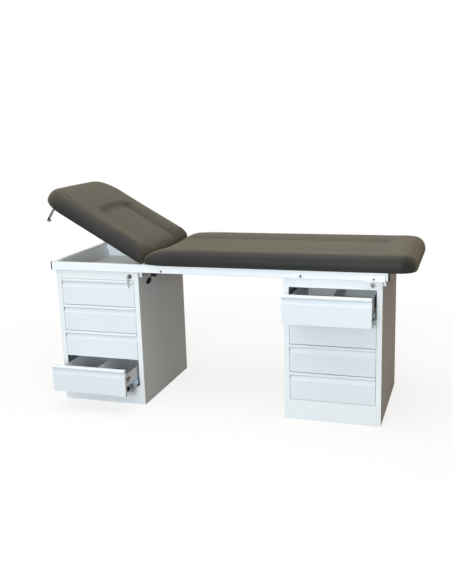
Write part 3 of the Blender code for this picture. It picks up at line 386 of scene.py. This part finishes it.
# The second key: a flat band bent round for its bow, and a blade with its cuts, each as (drop, width) in mm.
BOW_RADIUS, BOW_BAND, KEY_SHEET, BLADE_OVERLAP = 0.0051, 0.0044, 0.0019, 0.0006
BLADE_CUTS = ((0.0, 6.0), (2.0, 8.6), (4.0, 8.6), (4.5, 7.0), (7.0, 7.0), (7.2, 6.0), (10.0, 6.0),
              (10.2, 6.9), (13.0, 6.9), (13.2, 5.6), (16.0, 5.6), (16.2, 6.8), (19.0, 6.8), (19.2, 6.0),
              (22.0, 5.8), (24.0, 4.0), (25.5, 2.0))
bow_middle = ring_middle - (RING + BOW_RADIUS - BOW_BAND / 2 - WIRE) * UP
turn = np.linspace(-0.48 * np.pi, 1.48 * np.pi, 49)
out = np.stack((0 * turn, np.cos(turn), np.sin(turn)), -1)
bow = swept(bow_middle + BOW_RADIUS * out, out, RIGHT, BOW_BAND, KEY_SHEET, 16)
drop, width = np.array(BLADE_CUTS).T / 1000
path = bow_middle - (drop[:, None] + BOW_RADIUS + BOW_BAND / 2 - BLADE_OVERLAP) * UP
blade = swept(path, BACK, RIGHT, width, KEY_SHEET, 16)
piece("spare_key", [bow, blade], nickel, "left_lock")


# The frame is 40 x 20 mm tube, welded at the corners and coated white; it carries the top on the cabinets.
# The rails are closed by black push-in caps and bolted with domed, zinc-plated bolts.
# At the foot end a white plate for accessories is screwed on.
rail_coat = powder_coat("rail_powder_coat", (0.83, 0.88, 0.92), (0.80, 0.855, 0.90))
dress(rail_coat, ["front_rail", "rear_rail", "head_cross_rail", "foot_cross_rail", "seat_cross_rail"])
plate_coat = powder_coat("plate_powder_coat", (0.85, 0.865, 0.875), (0.82, 0.835, 0.845))
dress(plate_coat, ["accessory_plate"])
cap_plastic = moulded("cap_plastic", (0.010, 0.014, 0.030), (0.007, 0.010, 0.021), 0.36)
dress(cap_plastic, named("_cap"))


def turned(center, axis, profile, sides):
    """A profile of (radius, distance along the axis) turned round the axis through center."""
    side = np.cross(axis, UP)
    side /= np.linalg.norm(side)
    other = np.cross(axis, side)
    turn = np.linspace(0, 2 * np.pi, sides, endpoint=False)
    around = np.cos(turn)[:, None] * side + np.sin(turn)[:, None] * other
    radius, distance = np.asarray(profile, float).T
    return center + radius[:, None, None] * around + distance[:, None, None] * axis


BOLT_SUNK, DOME_TURN, DOME_FLATNESS = 0.0004, 1.15, 0.62


def domed_bolt(center, axis, radius):
    """A button head turned from its profile: part of a flattened circle, with a socket sunk in its middle."""
    turn = np.linspace(0, DOME_TURN, 8)
    dome = np.stack((radius * np.cos(turn), DOME_FLATNESS * radius * np.sin(turn)), -1)
    socket = [(0.40 * radius, dome[-1, 1]), (0.36 * radius, 0.25 * radius), (0.0, 0.20 * radius)]
    return turned(center, axis, [(0.0, -BOLT_SUNK), (radius, -BOLT_SUNK), *dome, *socket], 28)


BOLT_RADIUS, BOLT_RISE, BOLT_INSET = 0.0055, 0.010, 0.0125
front_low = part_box("front_rail")[0]
rear_low, rear_high = corners("rear_rail")
cross_low, cross_high = corners("seat_cross_rail")
lever_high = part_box("lever_bracket")[1]
bolts = []
for x in (lever_high[0] - BOLT_INSET, (cross_low[0] + cross_high[0]) / 2):
    for y, z, way in ((front_low[1], front_low[2], -BACK), (rear_high[1], rear_low[2], BACK)):
        bolts.append(domed_bolt(np.array((x, y, z + BOLT_RISE)), way, BOLT_RADIUS))
bolt_steel, bolt_shader, places = finish("bolt_steel")
grime = places.noise(300.0, 4.0, 0.6)
places.feed(bolt_shader, {"Base Color": grime.tint((0.13, 0.13, 0.135), (0.24, 0.24, 0.245)),
                          "Metallic": 1.0, "Roughness": grime * 0.25 + 0.30,
                          "Normal": grime.relief(0.00006, 0.3)})
piece("rail_bolts", bolts, bolt_steel, "frame")

SCREW_RADIUS, SCREW_DROP = 0.0042, 0.003
plate_low, plate_high = corners("accessory_plate")
plate_middle = (plate_low + plate_high) / 2
screw_place = np.array((plate_middle[0], plate_low[1], plate_middle[2] - SCREW_DROP))
black_steel, black_shader, places = finish("black_steel")
smear = places.noise(45.0, 4.0, 0.6)
places.feed(black_shader, {"Base Color": smear.tint((0.008, 0.008, 0.009), (0.022, 0.022, 0.025)),
                           "Roughness": smear * 0.25 + 0.36, "Specular IOR Level": 0.2,
                           "Normal": places.noise(600.0, 2.0).relief(0.00008, 0.3)})
piece("plate_screw", [domed_bolt(screw_place, -BACK, SCREW_RADIUS)], black_steel, "frame")


# The boards under the pads are 15 mm birch plywood: pale veneers glued crosswise, so the edges show layers.
# The faces have straight grain along the couch, and the cover's black hem is turned in at the hinge ends.
# The continuous hinge that joins the boards is zinc plate, passivated black.
BOARD_DROP, PLY_LAYER, TURN_IN, TURN_IN_FADE = 0.0177, 0.0042, 0.026, 0.0008
TILT = math.radians(30.0)
hinge_joint = next(joint for joint in frame["joints"] if joint["name"] == "headrest_tilt")
hinge = np.array(hinge_joint["pos_m"])


def plywood(name, turn, lowest):
    """Veneer grain along X, and edge layers that change with the height above the board's underside."""
    material, shader, places = finish(name)
    flat = places.stretched((1.0, 1.0, 1.0), (0.0, turn, 0.0))
    grain = flat.stretched((5.0, 110.0, 420.0)).noise(1.0, 5.0, 0.6)
    layer = ((flat.along(2) - lowest) * (2 * math.pi / PLY_LAYER)).wave().rise(-0.4, 0.4)
    face = grain.rise(0.3, 0.75).tint((0.36, 0.24, 0.13), (0.56, 0.41, 0.25))
    bare = (layer * 0.45).tint(face, (0.24, 0.15, 0.08))
    turned_in = 1 - (places.along(0) - hinge[0]).size().past(TURN_IN, TURN_IN_FADE)
    places.feed(shader, {"Base Color": turned_in.tint(bare, (0.016, 0.016, 0.016)),
                         "Roughness": grain * 0.2 + 0.55, "Normal": grain.relief(0.0002, 0.4)})
    return material


headrest_underside = hinge[0] * math.sin(TILT) + hinge[2] * math.cos(TILT) - BOARD_DROP
dress(plywood("seat_plywood", 0.0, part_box("seat_board")[0][2]), ["seat_board"])
dress(plywood("headrest_plywood", -TILT, headrest_underside), ["headrest_board"])
dress(zinc_plate("black_zinc", (0.016, 0.016, 0.018), (0.032, 0.032, 0.035)), named("hinge_"))


# Under the top, a gas spring holds the headrest; a lever below the front rail lets it move.
# The spring's body, brackets and lever are black enamelled steel, its rod is chromed, the grip is moulded.
dress(black_steel, ["gas_spring_cylinder", "gas_spring_bracket", "gas_spring_crank", "lever_bracket",
                    "release_lever"])
dress(moulded("grip_plastic", (0.007, 0.007, 0.008), (0.004, 0.004, 0.005), 0.42), ["lever_grip"])
chrome, chrome_shader, places = finish("chrome")
haze = places.noise(55.0, 4.0, 0.6)
places.feed(chrome_shader, {"Base Color": haze.tint((0.66, 0.65, 0.63), (0.78, 0.78, 0.77)),
                            "Metallic": 1.0, "Roughness": haze.rise(0.45, 0.8) * 0.16 + 0.07,
                            "Normal": haze.relief(0.00005, 0.15)})
dress(chrome, ["gas_spring_rod"])


# Two bent arms under the head end hold a paper roll: chromed bar with a black grip band and a bare end.
# The band is set by the height along the arm, in the tilted headrest's own directions.
ARM_LENGTH, BAND_LOW, BAND_HIGH, BAND_FADE = 0.094, 0.0150, 0.0270, 0.0006
arm_chrome, arm_shader, places = finish("roll_arm_chrome")
arm_end = headrest_underside - ARM_LENGTH
height = places.stretched((1.0, 1.0, 1.0), (0.0, -TILT, 0.0)).along(2) - arm_end
band = height.past(BAND_LOW, BAND_FADE) * (1 - height.past(BAND_HIGH, BAND_FADE))
haze = places.noise(70.0, 4.0, 0.6)
bare = haze.tint((0.60, 0.585, 0.56), (0.76, 0.75, 0.73))
places.feed(arm_shader, {"Base Color": band.tint(bare, (0.012, 0.012, 0.012)), "Metallic": 1 - band,
                         "Roughness": haze * 0.12 + 0.10 + band * 0.25, "Normal": haze.relief(0.00005, 0.2)})
dress(arm_chrome, ["front_roll_arm", "rear_roll_arm"])


# The top is two firm foam pads under black vinyl, pulled tight over the boards and stapled below.
# Each has a flat channel along its middle between side bolsters, closed by a raised end at its far end.
PAD_WIDTH, PAD_THICKNESS, PAD_FLOOR, PAD_RISE = 0.616, 0.0697, -BOARD_DROP, 0.018
SIDE_ROUND, END_ROUND, UNDERCUT, LEAST_CORNER = 0.040, 0.050, 0.008, 0.018
BOLSTER, BOLSTER_FALL, BOLSTER_CURVE, CHANNEL, FLOOR_CROWN = 0.062, 0.113, 2.2, 0.014, 0.0012
CREASE = PAD_WIDTH / 2 - BOLSTER - BOLSTER_FALL
CHANNEL_LINES, BOLSTER_LINES, HINGE_CORNER_STEPS = 31, 18, 4
LINES_ACROSS = CHANNEL_LINES + 2 * BOLSTER_LINES


def smooth(share):
    """3 s^2 - 2 s^3, for a share s kept between 0 and 1."""
    share = np.clip(share, 0.0, 1.0)
    return share * share * (3 - 2 * share)


def across_lines(outer):
    """Places across a pad, from front to rear: even lines over the channel, one line on each crease,
    and more over the bolster out to the outer line, which may differ from row to row."""
    outer = np.asarray(outer, float)[..., None]
    inner = np.broadcast_to(np.linspace(-CREASE, CREASE, CHANNEL_LINES), (*outer.shape[:-1], CHANNEL_LINES))
    step = np.arange(1, BOLSTER_LINES + 1) / BOLSTER_LINES
    far_side = CREASE + (outer - CREASE) * step
    return np.concatenate((-far_side[..., ::-1], inner, far_side), -1)


def corner_arc(x, y, radius, start, end, steps):
    """For each ring, points on a circle's arc between two angles in degrees."""
    turn = np.radians(np.linspace(start, end, steps))
    return np.stack((x[:, None] + radius[:, None] * np.cos(turn),
                     y[:, None] + radius[:, None] * np.sin(turn)), -1)


def straight_edge(x0, y0, x1, y1, steps):
    """For each ring, the inner points of an evenly divided line."""
    share = np.linspace(0, 1, steps)[1:-1]
    return np.stack((x0[:, None] + (x1 - x0)[:, None] * share, y0[:, None] + (y1 - y0)[:, None] * share), -1)


def pad_edges(near, far, half, near_corner, far_corner, long_steps, far_steps):
    """The outlines of all rings: their front side, far end and hinge end, each ring a row of (x, y).

    A side runs from the middle of one corner's arc to the middle of the next. At the hinge end the places
    across are given, and x follows from the corner's circle.
    """
    near_x, near_y = near + near_corner, near_corner - half
    far_x, far_y = far - far_corner, far_corner - half
    side = np.concatenate((corner_arc(near_x, near_y, near_corner, 225, 270, HINGE_CORNER_STEPS),
                           straight_edge(near_x, -half, far_x, -half, long_steps),
                           corner_arc(far_x, far_y, far_corner, 270, 315, far_steps)), 1)
    end_steps = LINES_ACROSS - 2 * far_steps + 2
    end = np.concatenate((corner_arc(far_x, far_y, far_corner, 315, 360, far_steps),
                          straight_edge(far, far_y, far, -far_y, end_steps),
                          corner_arc(far_x, -far_y, far_corner, 0, 45, far_steps)), 1)
    y = across_lines(half - near_corner * (1 - math.sqrt(0.5)))
    inside = np.clip(np.abs(y) - (half - near_corner)[:, None], 0.0, None)
    x = near_x[:, None] - np.sqrt(near_corner[:, None] ** 2 - inside ** 2)
    return side, end, np.stack((x, y), -1)


# The rings of a pad, from the board's pocket upwards: four on the hem, five round the lower edge,
# thirteen round the side and two on the shoulder. HEM_SAG and EDGE_SAG say how much of the hang each takes.
HEM_IN = (0.0215, 0.0200, 0.0165, 0.0130)
HEM_RISE = (0.0155, 0.0, 0.0, 0.0)
HEM_SAG, EDGE_SAG = (0.0, 0.0, 0.25, 0.75), (1.0, 0.97, 0.75, 0.45, 0.20)
ROUND_RINGS = 13
SHOULDER, HINGE_SHOULDER = np.array((0.006, 0.012)), np.array((0.005, 0.010))
FAR_BEND, HINGE_BEND = 0.16, 0.04
HANG_FROM, HANG_LENGTH, FALL_FROM, FALL_LENGTH = 0.03, 0.05, 0.02, 0.13


def pad_shape(near, reach, hinge_round, hinge_corner, hinge_tuck, hinge_fall, far_corner, end_length,
              end_rise, end_slope, bow, hang, long_steps, far_steps):
    """A pad's points before its cover is drawn tight, with the hinge axis at the origin and the pad along +X.

    Rings climb from the board's pocket round the underside and the side, and a grid fills the top:
    its rows run across, straight over the channel and bent into the rounded corners near the far end.
    """
    turn = np.linspace(0, np.pi / 2, ROUND_RINGS)
    draw, lift = 1 - np.cos(turn), np.sin(turn)
    under = np.linspace(np.pi / 2, 0, len(EDGE_SAG) + 1)[:-1]
    tuck = 1 - np.cos(under)
    side_in = np.concatenate((HEM_IN, UNDERCUT * tuck, SIDE_ROUND * draw, SIDE_ROUND + SHOULDER))
    near_in = np.concatenate((HEM_IN, hinge_tuck * tuck, hinge_round * draw, hinge_round + HINGE_SHOULDER))
    far_in = np.concatenate((HEM_IN, UNDERCUT * tuck, END_ROUND * draw, END_ROUND + SHOULDER))
    rise = np.concatenate((HEM_RISE, PAD_RISE * (1 - np.sin(under)),
                           PAD_RISE + (PAD_THICKNESS - PAD_RISE) * lift, (PAD_THICKNESS, PAD_THICKNESS)))
    sag = np.concatenate((HEM_SAG, EDGE_SAG, np.zeros(ROUND_RINGS + len(SHOULDER))))
    share = np.concatenate((np.zeros(len(HEM_IN) + len(EDGE_SAG)), lift, (1.0, 1.0)))
    side, end, hinge_end = pad_edges(near + near_in, reach - far_in, PAD_WIDTH / 2 - side_in,
                                     np.full(len(side_in), hinge_corner),
                                     np.maximum(far_corner - side_in, LEAST_CORNER), long_steps, far_steps)
    rear = side * (1, -1)
    rings = np.concatenate((side[:, :-1], end[:, :-1], rear[:, ::-1][:, :-1], hinge_end[:, ::-1][:, :-1]), 1)

    top_x, top_y = side[-1, :, 0], -side[-1, :, 1]
    zone = smooth((top_x - top_x[-1] + FAR_BEND) / FAR_BEND)[:, None]
    start = smooth(1 - (top_x - top_x[0]) / HINGE_BEND)[:, None]
    far_x, far_y = end[-1].T
    x = top_x[:, None] + zone * (far_x - far_x[-1]) + start * (hinge_end[-1, :, 0] - hinge_end[-1, -1, 0])
    y = (1 - zone) * across_lines(top_y) + zone * far_y / far_y[-1] * top_y[:, None]
    grid = np.stack((x, y), -1)[1:-1, 1:-1]

    def raised(plan, rise, share, sag):
        """Height over the board: the ring's rise, the end's swell, the channel and the hanging lower edge."""
        x, y = plan[..., 0], plan[..., 1]
        from_side, from_end = PAD_WIDTH / 2 - np.abs(y), reach - x
        edge = end_length - bow * (1 - (y / CREASE) ** 2)
        deep = np.clip((from_side - BOLSTER) / BOLSTER_FALL, 0, 1) ** BOLSTER_CURVE
        ends = smooth((from_end - edge + end_slope) / end_slope)
        swell = np.sin(np.pi * np.clip(from_end / end_length, 0, 1)) * np.cos(np.pi * y / PAD_WIDTH)
        floor = FLOOR_CROWN * np.cos(np.pi / 2 * np.clip(y / CREASE, -1, 1)) * deep * ends
        drop = hang * sag * smooth((x - near - HANG_FROM) / HANG_LENGTH)
        fall = hinge_fall * (1 - smooth((x - near - FALL_FROM) / FALL_LENGTH))
        return PAD_FLOOR + rise + share * (end_rise * swell - CHANNEL * deep * ends + floor - fall) - drop
    ring_heights = raised(rings, rise[:, None], share[:, None], sag[:, None])
    grid_heights = raised(grid, PAD_THICKNESS, 1.0, 0.0)
    return (np.concatenate((rings, ring_heights[..., None]), -1),
            np.concatenate((grid, grid_heights[..., None]), -1))


def pad_faces(ring_count, around, rows, columns):
    """Quads of the rings, of the top grid with its border ring, and a ladder across the board's pocket."""
    quads = ring_quads(ring_count, around).tolist()
    full = np.empty((rows, columns), int)
    last = (ring_count - 1) * around
    full[:, 0] = last + np.arange(rows)
    full[-1, :] = last + rows - 1 + np.arange(columns)
    full[::-1, -1] = last + rows + columns - 2 + np.arange(rows)
    full[0, ::-1] = last + 2 * rows + columns - 3 + np.arange(columns)
    full[0, 0] = last
    inner = np.arange((rows - 2) * (columns - 2)).reshape(rows - 2, columns - 2)
    full[1:-1, 1:-1] = ring_count * around + inner
    top = np.stack((full[:-1, :-1], full[1:, :-1], full[1:, 1:], full[:-1, 1:]), -1).reshape(-1, 4)
    tip = rows - 1 + (columns - 1) // 2
    rung = np.arange(around // 2 + 1)
    near, away = (tip - rung) % around, (tip + rung) % around
    ladder = np.stack((near[:-1], away[:-1], away[1:], near[1:]), -1)
    return quads + top.tolist() + [list(dict.fromkeys(corner)) for corner in ladder.tolist()]


CLOTH_FRAMES, EVENING_PASSES = 20, 16


def drawn_tight(mesh_object, held, limit):
    """The cover under the foam's pressure: a cloth held where it is stapled and creased, and each point
    let move no further than its limit. Each move is evened out with its neighbours', because firm foam
    lets no small ripple stay. The points it ends at are the cushion's."""
    start = np.empty(len(mesh_object.data.vertices) * 3)
    mesh_object.data.vertices.foreach_get("co", start)
    start = start.reshape(-1, 3)
    group = mesh_object.vertex_groups.new(name="held")
    group.add(np.flatnonzero(held).tolist(), 1.0, "REPLACE")
    cloth = mesh_object.modifiers.new("cover", "CLOTH")
    cloth.settings.quality = 6
    cloth.settings.mass = 0.4
    cloth.settings.tension_stiffness = 40
    cloth.settings.compression_stiffness = 40
    cloth.settings.shear_stiffness = 20
    cloth.settings.bending_stiffness = 3
    cloth.settings.use_pressure = True
    cloth.settings.uniform_pressure_force = 4.0
    cloth.settings.vertex_group_mass = "held"
    cloth.settings.effector_weights.gravity = 0.0
    cloth.collision_settings.use_collision = False
    scene = bpy.context.scene
    for moment in range(1, CLOTH_FRAMES + 1):
        scene.frame_set(moment)
    shaped = mesh_object.evaluated_get(bpy.context.evaluated_depsgraph_get())
    end = np.empty(len(start) * 3)
    shaped.data.vertices.foreach_get("co", end)
    move = end.reshape(-1, 3) - start
    edges = np.empty(len(mesh_object.data.edges) * 2, int)
    mesh_object.data.edges.foreach_get("vertices", edges)
    one, other = edges.reshape(-1, 2).T
    count = np.bincount(edges, minlength=len(start))[:, None]
    for _ in range(EVENING_PASSES):
        beside = np.zeros_like(move)
        np.add.at(beside, one, move[other])
        np.add.at(beside, other, move[one])
        move = np.where(held[:, None], 0.0, (move + beside / count) / 2)
    length = np.linalg.norm(move, axis=1)
    kept = limit * np.tanh(length / np.maximum(limit, 1e-6))
    mesh_object.modifiers.remove(cloth)
    mesh_object.vertex_groups.clear()
    scene.frame_set(1)
    return start + move * (kept / np.maximum(length, 1e-9))[:, None]


vinyl, vinyl_shader, places = finish("black_vinyl")
cells = places.node("ShaderNodeTexVoronoi", {"feature": "DISTANCE_TO_EDGE"},
                    {"Vector": places, "Scale": 620.0})
pebbles = cells.rise(0.0, 0.12)
grain = places.noise(260.0, 4.0, 0.6)
rubbed = places.noise(5.0, 4.0, 0.55)
black = rubbed.rise(0.3, 0.7).tint((0.012, 0.013, 0.016), (0.017, 0.018, 0.021))
places.feed(vinyl_shader, {"Base Color": black, "Roughness": grain * 0.10 + rubbed * 0.10 + 0.42,
                           "Specular IOR Level": 0.22, "Sheen Weight": 0.195, "Sheen Roughness": 0.60,
                           "Sheen Tint": (1.0, 0.88, 0.66, 1.0),
                           "Normal": (pebbles * 0.6 + grain * 0.4).relief(0.00016, 0.25)})
SOLID_THICKNESS, PAD_CLEARANCE, STEEPEST_TILT = 0.070, 0.0024, math.radians(45.0)
HELD_RINGS, CHANNEL_MOVE, PAD_MOVE, HINGE_EASE = 7, 0.0012, 0.0030, 0.09
TOP_SHARE, CHANNEL_SHARE, ON_CREASE = 0.80, 0.95, 1e-4


def clear_end(hinge_round):
    """How far a pad ends from the hinge axis, so that the two pads clear at the steepest tilt."""
    half = STEEPEST_TILT / 2
    gap = PAD_CLEARANCE / math.cos(half)
    return math.hypot(hinge_round, (SOLID_THICKNESS - PAD_RISE) * math.tan(half)) - hinge_round + gap


def pad(name, node, body, way, tilt, **form):
    """A pad made in the hinge's own directions, drawn tight, then turned and moved to its place.

    Its form is what pad_shape takes: sizes in metres, and the number of lines along its edges.
    """
    near, reach, end_length = clear_end(form["hinge_round"]), form["reach"], form["end_length"]
    rings, grid = pad_shape(near, **form)
    rows, columns = grid.shape[0] + 2, grid.shape[1] + 2
    points = np.concatenate((rings.reshape(-1, 3), grid.reshape(-1, 3)))
    mesh = bpy.data.meshes.new(name)
    mesh.from_pydata(points, [], pad_faces(len(rings), rings.shape[1], rows, columns))
    made = bpy.data.objects.new(name, mesh)
    bpy.context.scene.collection.objects.link(made)
    from_side, from_end = PAD_WIDTH / 2 - np.abs(points[:, 1]), reach - points[:, 0]
    on_top = points[:, 2] > PAD_FLOOR + PAD_THICKNESS * TOP_SHARE
    creased = on_top & (np.abs(np.abs(points[:, 1]) - CREASE) < ON_CREASE) & (from_end > end_length)
    held = (np.arange(len(points)) < HELD_RINGS * rings.shape[1]) | creased
    channel = on_top & (from_side > BOLSTER + BOLSTER_FALL * CHANNEL_SHARE) & (from_end > end_length)
    limit = np.where(channel, CHANNEL_MOVE, PAD_MOVE) * smooth((points[:, 0] - near) / HINGE_EASE)
    points = drawn_tight(made, held, limit)
    points[:, 2] = np.maximum(points[:, 2], PAD_FLOOR - form["hang"])
    points = points * (way, 1, 1)
    turn = np.array(((math.cos(tilt), 0, math.sin(tilt)), (0, 1, 0), (-math.sin(tilt), 0, math.cos(tilt))))
    mesh.vertices.foreach_set("co", (points @ turn.T + hinge).ravel())
    bm = bmesh.new()
    bm.from_mesh(mesh)
    bmesh.ops.recalc_face_normals(bm, faces=bm.faces)
    bm.to_mesh(mesh)
    bm.free()
    mesh.shade_smooth()
    mesh.materials.append(vinyl)
    finer = made.modifiers.new("finer", "SUBSURF")
    finer.levels = finer.render_levels = 1
    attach(made, body)
    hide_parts(node)


pad("seat_cover", "seat_pad", "frame", way=1, tilt=0.0, reach=1.260, hinge_round=0.085,
    hinge_corner=0.022, hinge_tuck=0.010, hinge_fall=0.006, far_corner=0.080, end_length=0.170,
    end_rise=0.002, end_slope=0.080, bow=0.0, hang=0.0034, long_steps=138, far_steps=8)
pad("headrest_cover", "headrest_pad", "headrest", way=-1, tilt=TILT, reach=0.610, hinge_round=0.062,
    hinge_corner=0.005, hinge_tuck=-0.009, hinge_fall=0.0, far_corner=0.140, end_length=0.280,
    end_rise=0.006, end_slope=0.044, bow=0.012, hang=0.0, long_steps=58, far_steps=12)


# A pale studio: a wide floor under a white background, a soft lamp in front, one overhead, a weak one behind.
# The sky is cool in front, warm behind and brown at the right; metal and vinyl mirror a warm, bright top.
# The camera stands where the photograph was taken from.
def rays(places):
    """Which kind of ray looks: 1 for one from the camera, a mirrored one and one through glass, else 0."""
    from_camera = places.node("ShaderNodeLightPath", {}, {})
    outputs = from_camera.socket.node.outputs
    return (from_camera, Field(places.tree, outputs["Is Glossy Ray"]),
            Field(places.tree, outputs["Is Transmission Ray"]))


FLOOR_REACH = 14.0
floor_mesh = bpy.data.meshes.new("floor")
floor_corners = FLOOR_REACH * np.array((-RIGHT - BACK, RIGHT - BACK, RIGHT + BACK, BACK - RIGHT))
floor_mesh.from_pydata(floor_corners, [], [(0, 1, 2, 3)])
floor = bpy.data.objects.new("floor", floor_mesh)
bpy.context.scene.collection.objects.link(floor)
floor_paint, floor_shader, places = finish("floor_paint")
from_camera, mirrored = rays(places)[:2]
pale = places.noise(1.7, 3.0).tint((0.88, 0.88, 0.88), (0.92, 0.92, 0.92))
places.feed(floor_shader, {"Base Color": from_camera.tint((0.20, 0.19, 0.18), pale), "Roughness": 0.9,
                           "Specular IOR Level": 0.0})
glow = places.node("ShaderNodeEmission", {}, {"Color": (1.0, 1.0, 1.0, 1.0), "Strength": 1.0})
away = places.node("ShaderNodeVectorMath", {"operation": "LENGTH"}, {0: places}, "Value")
white_share = from_camera * (away.rise(0.9, 2.6) * 0.20 + 0.80) + mirrored * 0.12
mixed = places.node("ShaderNodeMixShader", {},
                    {0: white_share, 1: Field(places.tree, floor_shader.outputs[0]), 2: glow})
places.feed(places.tree.nodes["Material Output"], {"Surface": mixed})
floor_mesh.materials.append(floor_paint)

world = bpy.data.worlds.new("studio")
bpy.context.scene.world = world
world.use_nodes = True
background = world.node_tree.nodes["Background"]
around = Field(world.node_tree, world.node_tree.nodes.new("ShaderNodeTexCoord").outputs["Generated"])
from_camera, mirrored, through = rays(around)
right = around.along(0).rise(-0.35, 0.75)
back = around.along(1).rise(-0.3, 0.6)
front = (0.0 - around.along(1)).rise(0.40, 0.90)
left_sky = back.tint((0.36, 0.37, 0.38), (0.62, 0.59, 0.54))
sky = front.tint(right.tint(left_sky, (0.22, 0.12, 0.02)), (0.90, 0.95, 1.0))
bright_top = around.along(2).rise(0.20, 0.50).tint((0.12, 0.105, 0.08), (1.0, 0.93, 0.77))
mirrored_sky = around.along(0).rise(0.0, 0.5).tint(bright_top, (0.12, 0.09, 0.06))
seen = from_camera.most(through)
around.feed(background, {"Color": seen.tint(mirrored.tint(sky, mirrored_sky), (1.0, 1.0, 1.0)),
                         "Strength": 1.0})

LAMP_AIM = Vector((0.0, 0.0, 0.5))


def lamp(name, place, size, power, color):
    """A round soft lamp at a place, turned to the couch's middle; size in metres and power in watts."""
    light = bpy.data.lights.new(name, "AREA")
    light.shape = "DISK"
    light.size = size
    light.energy = power
    light.color = color
    made = bpy.data.objects.new(name, light)
    bpy.context.scene.collection.objects.link(made)
    made.location = place
    made.rotation_euler = (made.location - LAMP_AIM).to_track_quat("Z", "Y").to_euler()


lamp("key_lamp", (0.6, -6.9, 1.98), 1.5, 262.0, (0.92, 0.98, 1.0))
lamp("overhead_lamp", (0.0, -0.9, 4.3), 4.0, 122.0, (1.0, 0.96, 0.88))
lamp("back_lamp", (-0.2, 4.4, 4.1), 3.0, 18.0, (1.0, 0.93, 0.77))

CAMERA_PLACE = np.array((1.12848, -3.46226, 1.39663))
camera_data = bpy.data.cameras.new("camera")
camera_data.sensor_width = 36.0
camera_data.lens = 47.142
camera = bpy.data.objects.new("camera", camera_data)
bpy.context.scene.collection.objects.link(camera)
ahead = np.array((-0.3090, 0.9233, -0.2284))
ahead /= np.linalg.norm(ahead)
over = np.array((-0.0408, 0.2271, 0.9732))
over -= ahead * (over @ ahead)
over /= np.linalg.norm(over)
basis = np.eye(4)
basis[:3] = np.stack((np.cross(ahead, over), over, -ahead, CAMERA_PLACE), -1)
camera.matrix_world = Matrix(basis.tolist())
bpy.context.scene.camera = camera
bpy.context.scene.view_settings.view_transform = "Standard"
